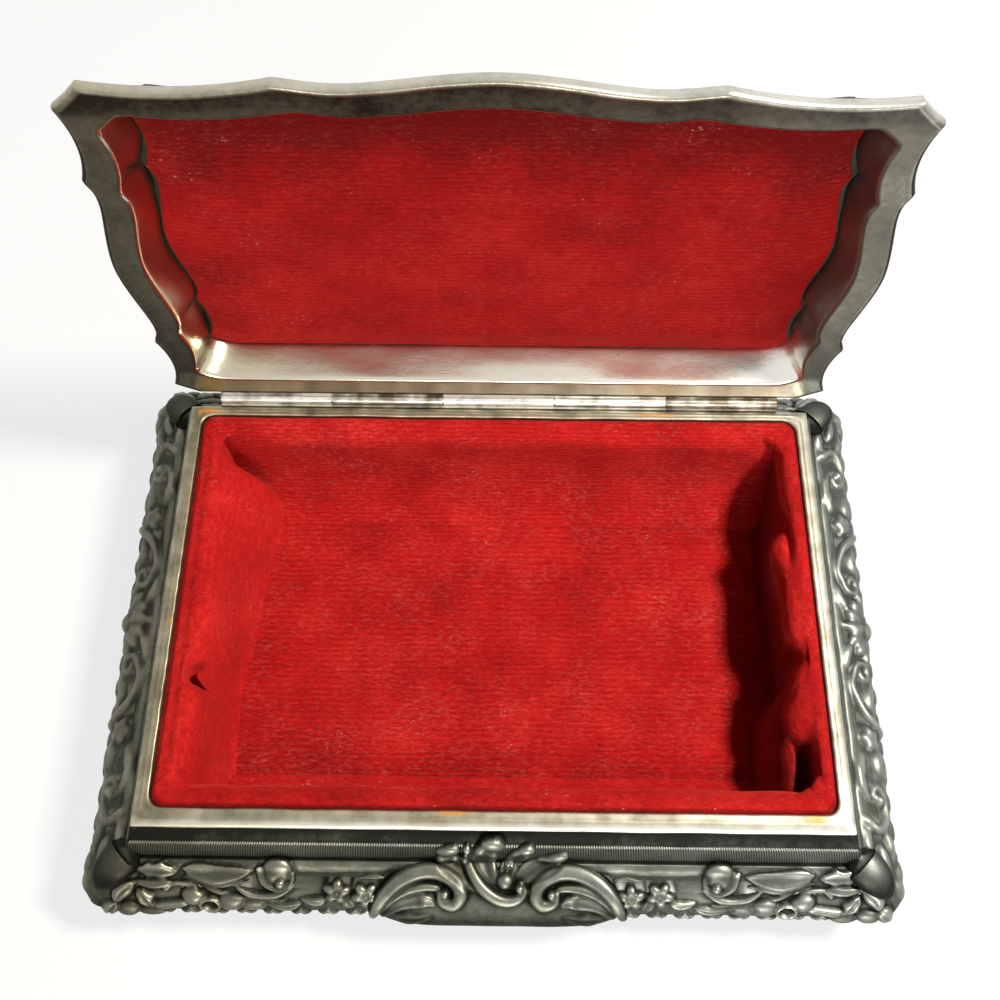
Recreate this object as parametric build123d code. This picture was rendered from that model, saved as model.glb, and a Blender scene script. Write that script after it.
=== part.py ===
from build123d import *
import math
import os

# All sizes in millimetres. X is the width, Y runs from the front (-) to the hinge (+), Z is up.
# The origin is on the table, under the middle of the box, and the lid stands open.

# Rim: the flat ledge that the closed lid lies on
rim_width = 118.0
rim_depth = 77.3
rim_thickness = 1.3
ledge_side = 2.5
ledge_front = 3.0
ledge_back = 2.1
opening_radius = 1.8

# Outside of the cast body. A reach is measured outwards from the rim's edge.
body_height = 23.0
body_wall = 1.6
cove_undercut = 0.6
fascia_top_reach = 1.7
fascia_low_reach = 3.1
band_reach = 11.3
band_flat = 0.12
base_reach = 8.6
cove_height = 4.6
fascia_height = 5.3
band_drop = 17.0
cove_sagitta = 0.75
shoulder_sagitta = 1.4
under_sagitta = 0.8
corner_radius = 5.0
neck_depth = 3.0
skirt_height = 2.0

# Bulbous knobs on the four corners, and the aprons under the fans of the front and the back
knob_radius = 4.4
knob_reach = 5.9
knob_drop = 13.0
apron_width = 27.0
apron_height = 12.0
apron_reach = 13.4
apron_thickness = 6.0
apron_drop = 16.0

# Raised ornament. Each form is an ellipse on the band or the fan's slope, drawn in towards its top.
relief_height = 1.4
relief_sink = 1.2
relief_top = 0.55
fan_height = 1.3
fan_turns = (-52, -27, 0, 27, 52)
frond_length = 8.0
frond_width = 3.8
frond_start = 0.2
scroll_width = 2.4
scroll_length = 5.8
scroll_eye = 3.4
flower_size = 5.0
ball_size = 4.8
leaf_long = 11.0
leaf_short = 6.4
leaf_width = 2.7

# Cast feet under the corners
foot_height = 7.0
foot_top_size = 12.0
foot_waist_size = 7.6
foot_toe_size = 9.6
foot_radius = 2.4
foot_reach = 3.4
foot_kick = 1.0

# Sheet bottom, cards and velvet inside
fit = 0.1
plate_thickness = 1.0
plate_recess = 0.5
floor_card_thickness = 1.5
floor_pad_thickness = 2.0
floor_pad_edge = 0.6
wall_card_thickness = 1.8
wall_card_drop = 2.2
wall_pad_thickness = 1.8
wall_pad_drop = 0.6
wall_pad_belly = 0.2
pad_gap = 0.3
left_slope = 8.6
right_sag = 5.0
sag_height_share = 0.45

# Hinge at the back of the rim
hinge_gap = 1.52
hinge_length = 106.5
knuckle_count = 5
knuckle_radius = 1.0
knuckle_gap = 0.2
pin_radius = 0.5
pin_play = 0.05
leaf_thickness = 0.42
leaf_height = 3.0
leaf_setback = 0.3
web_height = 0.5
open_angle = 92.0

# Lid, a shallow tray with a scalloped edge. An inset is measured inwards from its edge.
lid_width = 125.8
lid_front = 83.0
lid_back = 1.5
lid_seat_gap = 0.1
ear_inset = 1.5
ear_front_inset = 2.8
ear_back_inset = 2.6
ear_cut_width = 4.1
ear_cut_length = 4.0
cusp_inset = 1.3
cusp_front_inset = 1.5
cusp_spread = 21.6
cusp_front_spread = 30.9
dip_inset = 2.7
dip_front_inset = 3.9
shoulder_inset = 2.15
shoulder_front_inset = 2.6
shoulder_spread = 16.3
shoulder_front_spread = 20.5
swell_shift = 2.3
lid_rim_face = 5.2
lid_wall_slope = 2.2
lid_recess = 5.5
lid_card_thickness = 1.0
lid_pad_thickness = 1.3
lid_pad_gap = 0.6
lid_pad_edge = 0.6
lid_edge_height = 2.0
lid_edge_round = 0.5
lid_cove_inset = 2.9
lid_cove_height = 4.4
lid_shoulder_inset = 5.5
lid_shoulder_height = 7.2
lid_brow_inset = 7.0
lid_brow_height = 8.5
lid_panel_inset = 14.0
lid_panel_height = 9.7
lid_crown_inset = 28.0
lid_height = 10.4

# Heights and places that follow from the sizes above
rim_top = foot_height + body_height
opening_width = rim_width - 2 * ledge_side
opening_depth = rim_depth - ledge_front - ledge_back
opening_middle = (ledge_front - ledge_back) / 2
plate_top = foot_height + plate_recess + plate_thickness
floor_top = plate_top + floor_card_thickness + floor_pad_thickness
wall_card_top = rim_top - wall_card_drop
wall_pad_top = rim_top - wall_pad_drop
wall_pad_reach = 2 * fit + wall_card_thickness + wall_pad_thickness + wall_pad_belly
hinge_y = rim_depth / 2 + hinge_gap
hinge_axis = Axis((0, hinge_y, rim_top), (1, 0, 0))
lid_seat = rim_top + lid_seat_gap


def body_outline(half):
    """Half of the body's outer outline: rim edge, cove, sloping fascia, bulging band, foot edge."""
    lip = rim_top - rim_thickness
    fascia_top = lip - cove_height
    fascia_low = fascia_top - fascia_height
    band_out = (half + band_reach, rim_top - band_drop)
    return [
        Line((half, rim_top), (half, lip)),
        Line((half, lip), (half - cove_undercut, lip)),
        SagittaArc((half - cove_undercut, lip), (half + fascia_top_reach, fascia_top), -cove_sagitta),
        Line((half + fascia_top_reach, fascia_top), (half + fascia_low_reach, fascia_low)),
        SagittaArc((half + fascia_low_reach, fascia_low), band_out, shoulder_sagitta),
        SagittaArc(band_out, (half + base_reach, foot_height), under_sagitta),
    ]


def hollow_outline(half):
    """Half of the inside of the body under its neck, one wall thickness in from the outside."""
    fascia_low = rim_top - rim_thickness - cove_height - fascia_height
    points = [
        (half - cove_undercut - body_wall, rim_top - neck_depth),
        (half + fascia_low_reach - body_wall, fascia_low),
        (half + band_reach - 2 * body_wall, rim_top - band_drop),
        (half + base_reach - body_wall, foot_height + skirt_height),
        (half + base_reach - body_wall, foot_height),
    ]
    return [Line(a, b) for a, b in zip(points, points[1:])]


def mirrored_face(edges):
    """Closes half an outline, which runs from top to bottom, with its mirror image."""
    top = edges[0] @ 0
    bottom = edges[-1] @ 1
    closing = [Line((-top.X, top.Y), (top.X, top.Y)), Line((-bottom.X, bottom.Y), (bottom.X, bottom.Y))]
    return make_face([*edges, *[mirror(edge, about=Plane.YZ) for edge in edges], *closing])


def mitred_block(outline):
    """A block whose four sides all have the same outline and meet in mitred corners."""
    reach = rim_width + 2 * band_reach
    along_y = extrude(Plane.XZ * mirrored_face(outline(rim_width / 2)), reach, both=True)
    along_x = extrude(Plane.YZ * mirrored_face(outline(rim_depth / 2)), reach, both=True)
    return along_y & along_x


def opening_prism(inset, bottom, top):
    """A block that fills the opening in the rim, drawn in by the inset."""
    face = RectangleRounded(
        opening_width - 2 * inset, opening_depth - 2 * inset, opening_radius - min(inset, opening_radius / 2)
    )
    return Pos(0, opening_middle, bottom) * extrude(face, top - bottom)


def corners():
    """The signs of X and Y at the four corners, with the name of each."""
    return [("front_left", -1, -1), ("front_right", 1, -1), ("rear_left", -1, 1), ("rear_right", 1, 1)]


def apron(sy):
    """The smooth apron under the fan of the front or the back, thick at its middle and thin at its edge."""
    sections = []
    for share, size in ((1, 1), (0.45, 0.88), (0.12, 0.62), (0, 0.3)):
        y = sy * (rim_depth / 2 + apron_reach - share * apron_thickness)
        plane = Plane((0, y, rim_top - apron_drop), x_dir=(1, 0, 0), z_dir=(0, sy, 0))
        sections.append(plane * Ellipse(size * apron_width / 2, size * apron_height / 2))
    return loft(sections)


def raised_form(slope, half, along, share, length, width, turn, height):
    """One form of the ornament on the front: an ellipse sunk in a slope and drawn in towards its top.

    Slope is the slope's edge in reach and height, and share is how far down it the form's middle lies.
    Turn is the angle from the side's direction to the form's length.
    """
    place, run = slope @ share, slope % share
    outward = Vector(0, run.Y, run.X)
    middle = Vector(along, -(half + place.X), place.Y)
    sections = []
    for lift, size in ((-relief_sink, 1), (height, relief_top)):
        plane = Plane(middle + lift * outward, x_dir=(1, 0, 0), z_dir=outward)
        sections.append(plane * Rot(0, 0, turn) * Ellipse(size * length / 2, size * width / 2))
    return loft(sections, ruled=True)


def ornament(half, half_length, forms):
    """Raised forms on the band, each with its mirror image on the other side of the middle.

    A form is its place along as a share of the side's half length, its share down the slope, its length,
    its width and its turn.
    """
    shoulder = body_outline(0)[4]
    solids = []
    for along, share, length, width, turn in forms:
        for sign in (-1, 1) if along else (1,):
            place = sign * along * half_length
            solids.append(raised_form(shoulder, half, place, share, length, width, sign * turn, relief_height))
    return solids


def fan(half):
    """Fronds that spread up over the cove from the middle of the front."""
    lip = (0, rim_top - rim_thickness)
    low = (fascia_low_reach, rim_top - rim_thickness - cove_height - fascia_height)
    slope = Line(lip, low)
    solids = []
    for turn in fan_turns:
        away = frond_start + frond_length / 2
        along = away * math.sin(math.radians(turn))
        share = 1 - away * math.cos(math.radians(turn)) / slope.length
        solids.append(raised_form(slope, half, along, share, frond_length, frond_width, 90 - turn, fan_height))
    return solids


def side_ornament(half, half_length, forms, turn, with_fan):
    """The raised ornament of one side, turned about Z from the front to its place."""
    solids = ornament(half, half_length, forms)
    if with_fan:
        solids += fan(half)
    return [solid.rotate(Axis.Z, turn) for solid in solids]


def front_forms():
    """Ornament of the front and the back: scroll, flowers, ball, long leaves and the leaves at the ends."""
    return [
        (0.305, 0.72, scroll_length, scroll_width, 58),
        (0.240, 0.30, scroll_length, scroll_width, 30),
        (0.165, 0.20, scroll_length, scroll_width, -8),
        (0.105, 0.42, scroll_length, scroll_width, 74),
        (0.140, 0.52, scroll_eye, scroll_eye, 0),
        (0.350, 0.58, flower_size, flower_size, 0),
        (0.428, 0.53, flower_size, flower_size, 0),
        (0.585, 0.22, ball_size, ball_size, 0),
        (0.615, 0.60, leaf_short, leaf_width, -6),
        (0.750, 0.20, leaf_long, leaf_width, 4),
        (0.750, 0.42, leaf_long, leaf_width, -8),
        (0.730, 0.74, leaf_short, leaf_width, 0),
        (0.865, 0.52, leaf_short, leaf_width, 42),
        (0.905, 0.20, leaf_short, leaf_width, -6),
        (0.945, 0.55, leaf_short, leaf_width, 60),
        (0.520, 0.80, leaf_short, leaf_width, -4),
    ]


def flank_forms():
    """Ornament of the left and the right side: a shell in the middle, scrolls, flowers and leaves."""
    return [
        (0, 0.50, flower_size, leaf_long, 0),
        (0.115, 0.62, leaf_short, leaf_width, 60),
        (0.300, 0.32, scroll_length, scroll_width, 32),
        (0.200, 0.38, scroll_eye, scroll_eye, 0),
        (0.400, 0.66, scroll_length, scroll_width, 62),
        (0.440, 0.48, flower_size, flower_size, 0),
        (0.590, 0.30, leaf_long, leaf_width, -4),
        (0.660, 0.60, leaf_short, leaf_width, 10),
        (0.760, 0.44, leaf_short, leaf_width, -60),
        (0.860, 0.24, leaf_short, leaf_width, 0),
        (0.850, 0.62, leaf_short, leaf_width, 34),
    ]


def body_casting():
    """Hollow cast ring with its ledge, corner knobs, aprons and the raised ornament of its four sides."""
    outside = mitred_block(body_outline)
    reach = band_reach - band_flat
    round_prism = extrude(RectangleRounded(rim_width + 2 * reach, rim_depth + 2 * reach, corner_radius), rim_top)
    outside = outside & round_prism
    for _, sx, sy in corners():
        place = Pos(
            sx * (rim_width / 2 + knob_reach), sy * (rim_depth / 2 + knob_reach), rim_top - knob_drop
        )
        outside += place * Sphere(knob_radius)
    for sy in (-1, 1):
        outside += apron(sy)
    front = (rim_depth / 2, rim_width / 2 + knob_reach, front_forms())
    flank = (rim_width / 2, rim_depth / 2 + knob_reach, flank_forms())
    for quarter in range(4):
        upright = quarter % 2 == 0
        outside += side_ornament(*(front if upright else flank), 90 * quarter, upright)
    hollow = mitred_block(hollow_outline)
    neck = opening_prism(0, rim_top - neck_depth - fit, rim_top + 1)
    return outside - hollow - neck


def base_plate():
    """Sheet bottom, soldered inside the skirt of the casting."""
    reach = base_reach - body_wall - fit / 2
    hung = (Align.CENTER, Align.CENTER, Align.MAX)
    sheet = Box(rim_width + 2 * reach, rim_depth + 2 * reach, plate_thickness, align=hung)
    return Pos(0, 0, plate_top) * sheet


def foot(sx, sy):
    """Cast foot: a broad top, a narrow waist and a toe that kicks outwards."""
    x = sx * (rim_width / 2 + foot_reach)
    y = sy * (rim_depth / 2 + foot_reach)
    stations = [
        (foot_height, foot_top_size, 0),
        (foot_height / 2, foot_waist_size, foot_kick),
        (0, foot_toe_size, foot_kick),
    ]
    sections = [
        Pos(x + sx * kick, y + sy * kick, z) * RectangleRounded(size, size, foot_radius)
        for z, size, kick in stations
    ]
    return loft(sections)


def wall_cards():
    """Four cards that stand on the sheet bottom against the edge of the opening."""
    room = opening_prism(fit / 2, plate_top - 1, rim_top)
    height = wall_card_top - plate_top
    low = (Align.CENTER, Align.CENTER, Align.MIN)
    across = Box(opening_width, wall_card_thickness, height, align=low)
    along = Box(wall_card_thickness, opening_depth - 2 * wall_pad_reach - 2 * fit, height, align=low)
    y = opening_depth / 2 - fit - wall_card_thickness / 2
    x = opening_width / 2 - fit - wall_card_thickness / 2
    return {
        "card_front": Pos(0, opening_middle - y, plate_top) * across & room,
        "card_rear": Pos(0, opening_middle + y, plate_top) * across & room,
        "card_left": Pos(-x, opening_middle, plate_top) * along,
        "card_right": Pos(x, opening_middle, plate_top) * along,
    }


def floor_card():
    """Card on the sheet bottom, between the wall cards."""
    inset = 2 * fit + wall_card_thickness
    size = (opening_width - 2 * inset, opening_depth - 2 * inset, floor_card_thickness)
    return Pos(0, opening_middle, plate_top) * Box(*size, align=(Align.CENTER, Align.CENTER, Align.MIN))


def velvet_floor():
    """Velvet over thin wadding on the floor card, with softly rounded upper edges."""
    inset = 2 * fit + wall_card_thickness
    size = (opening_width - 2 * inset, opening_depth - 2 * inset, floor_pad_thickness)
    pad = Box(*size, align=(Align.CENTER, Align.CENTER, Align.MAX))
    pad = fillet(pad.faces().sort_by(Axis.Z)[-1].edges(), floor_pad_edge)
    return Pos(0, opening_middle, floor_top) * pad


def wall_pad_face(spread, sag):
    """Section of a wall's velvet: it hooks over the card, rolls over at the top and spreads at the floor.

    The wall is on the left of the section, u = 0 is the edge of the opening and v is the height.
    Spread is how much further out its foot stands than its top, and sag is how far its face bellies out.
    """
    card = fit + wall_card_thickness + fit
    face = card + wall_pad_thickness
    shoulder = wall_card_top + fit
    belly_v = floor_top + sag_height_share * (shoulder - floor_top)
    belly_u = face + (1 - sag_height_share) ** 2 * spread + sag
    return make_face(
        [
            Line((card, floor_top), (face + spread, floor_top)),
            ThreePointArc((face + spread, floor_top), (belly_u, belly_v), (face, shoulder)),
            ThreePointArc((face, shoulder), ((face + fit) / 2, wall_pad_top), (fit, shoulder)),
            Line((fit, shoulder), (card, shoulder)),
            Line((card, shoulder), (card, floor_top)),
        ]
    )


def velvet_across(sy):
    """Velvet of the front or the back wall, rolled over at the top, the full width of the opening."""
    section = wall_pad_face(0, wall_pad_belly)
    edge = opening_middle + sy * opening_depth / 2
    plane = Plane((0, edge, 0), x_dir=(0, -sy, 0), z_dir=(-sy, 0, 0))
    strip = extrude(plane * section, opening_width / 2, both=True)
    return strip & opening_prism(fit / 2, plate_top, rim_top)


def velvet_side(sx, stations):
    """Velvet of a side wall, lofted through sections given as (y, spread, sag)."""
    edge = sx * opening_width / 2
    sections = [
        Plane((edge, y, 0), x_dir=(-sx, 0, 0), z_dir=(0, sx, 0)) * wall_pad_face(spread, sag)
        for y, spread, sag in stations
    ]
    return loft(sections, ruled=True)


def side_ends():
    """Where the side velvets end, just clear of the front and the back velvet."""
    reach = opening_depth / 2 - wall_pad_reach - pad_gap
    return opening_middle - reach, opening_middle + reach


def velvet_left():
    """Left wall: its velvet slopes down to the floor like a bolster, and flattens towards the back."""
    front, back = side_ends()
    length = back - front
    return velvet_side(
        -1,
        [
            (front, left_slope, 0.6),
            (front + 0.8 * length, left_slope, 0.6),
            (front + 0.92 * length, left_slope / 2, 0.4),
            (back, 0.4, wall_pad_belly),
        ],
    )


def velvet_right():
    """Right wall: its velvet has come loose and bellies out towards the front."""
    front, back = side_ends()
    length = back - front
    return velvet_side(
        1,
        [
            (front, 0.4, 0.3),
            (front + 0.15 * length, 2.0, 0.8 * right_sag),
            (front + 0.4 * length, 1.0, 0.7 * right_sag),
            (front + 0.65 * length, 2.0, right_sag),
            (front + 0.8 * length, 0.4, 0.3),
            (back, 0.4, 0.3),
        ],
    )


def knuckle_span(index):
    """Ends along X of one knuckle, counted from the left."""
    pitch = hinge_length / knuckle_count
    left = -hinge_length / 2 + index * pitch
    return left + knuckle_gap / 2, left + pitch - knuckle_gap / 2


def hinge_leaf(indices, side, leaf_front, bore_radius):
    """One leaf: an upright strip, and knuckles on webs. Side is -1 under the rim's level and 1 above it."""
    lower, upper = sorted((side * leaf_setback, side * (leaf_setback + leaf_height)))
    leaf = Pos(0, leaf_front + leaf_thickness / 2, rim_top + (lower + upper) / 2) * Box(
        hinge_length - knuckle_gap, leaf_thickness, upper - lower
    )
    for index in indices:
        left, right = knuckle_span(index)
        middle = (left + right) / 2
        web_length = hinge_y - leaf_front
        web_z = side * (knuckle_radius - web_height / 2)
        web = Pos(middle, leaf_front + web_length / 2, rim_top + web_z) * Box(
            right - left, web_length, web_height
        )
        tube = Pos(middle, hinge_y, rim_top) * Rot(0, 90, 0) * Cylinder(knuckle_radius, right - left)
        leaf += web + tube
    bore = Pos(0, hinge_y, rim_top) * Rot(0, 90, 0) * Cylinder(bore_radius, hinge_length)
    return leaf - bore


def hinge_pin():
    """Wire pin through all the knuckles."""
    return Pos(0, hinge_y, rim_top) * Rot(0, 90, 0) * Cylinder(pin_radius, hinge_length - knuckle_gap)


def lid_outline(inset):
    """Scalloped outline of the closed lid, drawn in by the inset on all sides, as a face at height 0.

    Ears stand at the corners and cusps at the quarters, with a dip between them and a swell in the middle.
    """
    half_width = lid_width / 2
    half_length = (lid_front - lid_back) / 2
    middle = hinge_y - lid_back - half_length
    x_share = 1 - inset / half_width
    y_share = 1 - inset / half_length

    def point(x, y):
        return (x * x_share, middle + y * y_share)

    ear_x = half_width - ear_inset
    ear_y = half_length - ear_front_inset
    ear_side_y = ear_y - ear_cut_length
    ear_back_y = half_length - ear_back_inset
    cusp_x = half_width - cusp_inset
    cusp_y = half_length - cusp_front_inset

    half = [
        Line(point(0, half_length), point(ear_x - ear_cut_width, half_length)),
        Line(point(ear_x - ear_cut_width, half_length), point(ear_x, ear_back_y)),
        ThreePointArc(
            point(ear_x, ear_back_y),
            point(half_width - dip_inset, (ear_back_y + swell_shift + cusp_spread) / 2),
            point(cusp_x, swell_shift + cusp_spread),
        ),
        Spline(
            point(cusp_x, swell_shift + cusp_spread),
            point(half_width - shoulder_inset, swell_shift + shoulder_spread),
            point(half_width, swell_shift),
            point(half_width - shoulder_inset, swell_shift - shoulder_spread),
            point(cusp_x, swell_shift - cusp_spread),
        ),
        ThreePointArc(
            point(cusp_x, swell_shift - cusp_spread),
            point(half_width - dip_inset, (swell_shift - cusp_spread - ear_side_y) / 2),
            point(ear_x, -ear_side_y),
        ),
        Line(point(ear_x, -ear_side_y), point(ear_x - ear_cut_width, -ear_y)),
        ThreePointArc(
            point(ear_x - ear_cut_width, -ear_y),
            point((ear_x - ear_cut_width + cusp_front_spread) / 2, dip_front_inset - half_length),
            point(cusp_front_spread, -cusp_y),
        ),
    ]
    swell = Spline(
        point(cusp_front_spread, -cusp_y),
        point(shoulder_front_spread, shoulder_front_inset - half_length),
        point(0, -half_length),
        point(-shoulder_front_spread, shoulder_front_inset - half_length),
        point(-cusp_front_spread, -cusp_y),
    )
    return make_face([*half, swell, *[mirror(edge, about=Plane.YZ) for edge in half]])


def lid_block(stations):
    """Stacks scalloped outlines, given as (height over the seat, inset), and joins them with straight sides."""
    return loft([Pos(0, 0, lid_seat + height) * lid_outline(inset) for height, inset in stations], ruled=True)


def lid_inner_inset(height):
    """Inset of the lid's sloping inner wall at a height over the seat."""
    hollow_depth = lid_recess + lid_pad_thickness + lid_card_thickness
    return lid_rim_face + lid_wall_slope * height / hollow_depth


def lid_casting():
    """Cast lid: rounded edge, cove, shoulder and a low crowned top over a shallow hollow."""
    outside = lid_block(
        [
            (0, lid_edge_round),
            (lid_edge_round, 0),
            (lid_edge_height - lid_edge_round, 0),
            (lid_edge_height, lid_edge_round),
            (lid_cove_height, lid_cove_inset),
            (lid_shoulder_height, lid_shoulder_inset),
            (lid_brow_height, lid_brow_inset),
            (lid_panel_height, lid_panel_inset),
            (lid_height, lid_crown_inset),
        ]
    )
    hollow_depth = lid_recess + lid_pad_thickness + lid_card_thickness
    hollow = lid_block([(-1, lid_inner_inset(-1)), (hollow_depth, lid_inner_inset(hollow_depth))])
    return outside - hollow


def lid_card():
    """Card glued to the ceiling of the lid's hollow."""
    low = lid_recess + lid_pad_thickness
    inset = lid_inner_inset(low + lid_card_thickness) + fit
    return lid_block([(low, inset), (low + lid_card_thickness, inset)])


def velvet_lid():
    """Velvet panel on the lid's card, with soft edges and a narrow gap round it."""
    top = lid_recess + lid_pad_thickness
    inset = lid_inner_inset(top) + lid_pad_gap
    return lid_block([(lid_recess, inset + lid_pad_edge), (lid_recess + lid_pad_edge, inset), (top, inset)])


def opened(piece):
    """Turns a piece of the closed lid back about the hinge."""
    return piece.rotate(hinge_axis, -open_angle)


body_knuckles = range(0, knuckle_count, 2)
lid_knuckles = range(1, knuckle_count, 2)

pieces = {
    "body_casting": body_casting(),
    "base_plate": base_plate(),
    "floor_card": floor_card(),
    "velvet_floor": velvet_floor(),
    "velvet_front": velvet_across(-1),
    "velvet_rear": velvet_across(1),
    "velvet_left": velvet_left(),
    "velvet_right": velvet_right(),
    "hinge_leaf_body": hinge_leaf(body_knuckles, -1, rim_depth / 2, pin_radius),
    "hinge_pin": hinge_pin(),
    "hinge_leaf_lid": opened(hinge_leaf(lid_knuckles, 1, hinge_y - lid_back, pin_radius + pin_play)),
    "lid_casting": opened(lid_casting()),
    "lid_card": opened(lid_card()),
    "velvet_lid": opened(velvet_lid()),
}
pieces.update(wall_cards())
for name, sx, sy in corners():
    pieces["foot_" + name] = foot(sx, sy)

os.makedirs("parts", exist_ok=True)
for name, piece in pieces.items():
    export_step(piece, f"parts/{name}.step")
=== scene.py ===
import bpy
import math
import numpy as np
from functools import partial
from mathutils import Matrix


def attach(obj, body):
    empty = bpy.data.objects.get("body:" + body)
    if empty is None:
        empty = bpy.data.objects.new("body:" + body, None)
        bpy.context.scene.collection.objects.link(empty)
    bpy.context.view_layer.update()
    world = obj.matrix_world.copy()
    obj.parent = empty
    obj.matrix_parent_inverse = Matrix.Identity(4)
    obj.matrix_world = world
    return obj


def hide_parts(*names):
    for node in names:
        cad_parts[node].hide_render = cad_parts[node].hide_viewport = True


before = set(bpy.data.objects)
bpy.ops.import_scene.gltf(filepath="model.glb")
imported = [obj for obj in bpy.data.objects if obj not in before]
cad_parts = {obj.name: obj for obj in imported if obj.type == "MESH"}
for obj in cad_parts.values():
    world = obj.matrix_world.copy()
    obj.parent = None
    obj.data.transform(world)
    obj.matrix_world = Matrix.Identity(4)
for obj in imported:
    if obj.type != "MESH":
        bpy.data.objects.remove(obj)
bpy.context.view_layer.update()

# All sizes below are millimetres, in the frame of the CAD model. Meshes turn them into metres.
MM = 0.001

# Body: half sizes of the rim, the opening inside it and the roundness of the corners
RIM_X = 59.0
RIM_Y = 38.65
RIM_TOP = 30.0
OPENING_X = 56.5
OPENING_FRONT = 35.65
OPENING_BACK = 36.55
OPENING_RADIUS = 2.4
OPENING_HALF = (OPENING_FRONT + OPENING_BACK) / 2
OPENING_MIDDLE = (OPENING_BACK - OPENING_FRONT) / 2
CORNER_RADIUS = 5.0
SIDES = ("front", "right", "rear", "left")
CORNERS = (("front_left", -1, -1), ("front_right", 1, -1), ("rear_left", -1, 1), ("rear_right", 1, 1))

# Relief: how far its ground is sunk, the middle of the front's ornament, the reeds, and how far a place
# lies under or over its surroundings where it counts as fully hollow or fully rubbed
GROUND_SINK = 1.0
ORNAMENT_AXIS = 0.9
REED_PITCH = 0.42
REED_HEIGHT = 0.13
FULL_WEAR = 0.75

# Lid, measured from the hinge
HINGE_Y = 40.17
KNUCKLE_PITCH = 21.3
OPEN_ANGLE = 92.0
LID_SEAT = 30.1
LID_HALF_WIDTH = 62.9
LID_FRONT = 83.0
LID_WARP = 0.0125
LID_BACK = 1.5
LID_HALF_LENGTH = (LID_FRONT - LID_BACK) / 2
LID_MIDDLE = LID_BACK + LID_HALF_LENGTH

# Lining: top of the floor's board, back of the lid's velvet, share of a wall that its corners add
FLOOR_CARD_TOP = 10.0
LID_VELVET_BACK = 6.85
CORNER_SHARE = 0.1

# Cloth is tuned for things of about a metre, so it runs at a larger size
CLOTH_SCALE = 12.0
CLOTH_FRAMES = 11
CLOTH_PRESSURE = 4.0

# Camera that took the photograph: its place, its angles in degrees, its lens and the shift of its frame
CAMERA_PLACE = (1.14, -68.87, 232.25)
CAMERA_PITCH = 62.40
CAMERA_YAW = -0.47
CAMERA_ROLL = -0.19
CAMERA_LENS = 43.07
CAMERA_SHIFT = -0.0841


def linear(code):
    """Colour for a shader socket from an sRGB hex code."""
    values = []
    for place in (1, 3, 5):
        c = int(code[place:place + 2], 16) / 255
        values.append(c / 12.92 if c <= 0.04045 else ((c + 0.055) / 1.055) ** 2.4)
    return (*values, 1.0)


# Meshes from grids of points


def grid_quads(rows, columns, close_rows=False, close_columns=False):
    """Faces between neighbouring points of a grid that is stored row by row."""
    r = np.arange(rows if close_rows else rows - 1)
    c = np.arange(columns if close_columns else columns - 1)
    r, c = np.meshgrid(r, c, indexing="ij")
    r_next, c_next = (r + 1) % rows, (c + 1) % columns
    corners = [r * columns + c, r * columns + c_next, r_next * columns + c_next, r_next * columns + c]
    return np.stack(corners, -1).reshape(-1, 4)


def against(cap, quads):
    """The cap, turned so that it runs the other way than the quads along the edge that they share."""
    same_way = (quads == cap[0]) & (np.roll(quads, -1, axis=1) == cap[1])
    return cap[::-1] if same_way.any() else cap


def build(name, points, quads, caps=(), sharp=50.0, marks=None):
    """A closed mesh from points in millimetres, quads and end caps, turned so that it faces outwards.

    Six times the volume inside is the sum, over the triangles, of one corner times the cross product of
    the other two. Where it comes out negative, all faces are turned round.
    """
    points = np.asarray(points, float).reshape(-1, 3)
    caps = [against(np.asarray(cap), quads) for cap in caps]
    triangles = [quads[:, (0, 1, 2)], quads[:, (0, 2, 3)]]
    for cap in caps:
        triangles.append(np.stack([np.full(len(cap) - 2, cap[0]), cap[1:-1], cap[2:]], -1))
    a, b, c = points[np.concatenate(triangles)].transpose(1, 0, 2)
    if np.einsum("ij,ij->", a, np.cross(b, c)) < 0:
        quads = quads[:, ::-1]
        caps = [cap[::-1] for cap in caps]
    mesh = bpy.data.meshes.new(name)
    mesh.from_pydata((points * MM).tolist(), [], quads.tolist() + [cap.tolist() for cap in caps])
    mesh.shade_smooth()
    mesh.set_sharp_from_angle(angle=math.radians(sharp))
    for mark, values in (marks or {}).items():
        layer = mesh.attributes.new(mark, "FLOAT", "POINT")
        layer.data.foreach_set("value", np.ascontiguousarray(values, np.float32).ravel())
    piece = bpy.data.objects.new(name, mesh)
    bpy.context.scene.collection.objects.link(piece)
    return piece


def stacked(name, rings, sharp, marks=None):
    """A closed mesh from rings of points, one ring a row, with its first and last ring capped."""
    rows, columns = rings.shape[:2]
    caps = [np.arange(columns), (rows - 1) * columns + np.arange(columns)]
    return build(name, rings, grid_quads(rows, columns, close_columns=True), caps, sharp, marks)


def carried(name, sections, marks):
    """A closed mesh from closed sections, one section a column, with its first and last section capped."""
    rows, columns = sections.shape[:2]
    caps = [np.arange(rows) * columns, np.arange(rows) * columns + columns - 1]
    return build(name, sections, grid_quads(rows, columns, close_rows=True), caps, 60.0, marks)


def patch(name, points, marks):
    """A closed mesh from a grid of points, with one face across the whole edge of the grid as its back."""
    rows, columns = points.shape[:2]
    top = np.arange(columns)
    right = np.arange(1, rows) * columns + columns - 1
    bottom = (rows - 1) * columns + np.arange(columns - 2, -1, -1)
    left = np.arange(rows - 2, 0, -1) * columns
    edge = np.concatenate([top, right, bottom, left])
    return build(name, points, grid_quads(rows, columns), [edge], 60.0, marks)


def fit_out(piece, body, material, slot, *nodes):
    """Gives a piece its material, the body it rides on and the nodes it stands for."""
    piece.data.materials.clear()
    piece.data.materials.append(material)
    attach(piece, body)
    if nodes:
        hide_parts(*nodes)
    return piece


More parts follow.
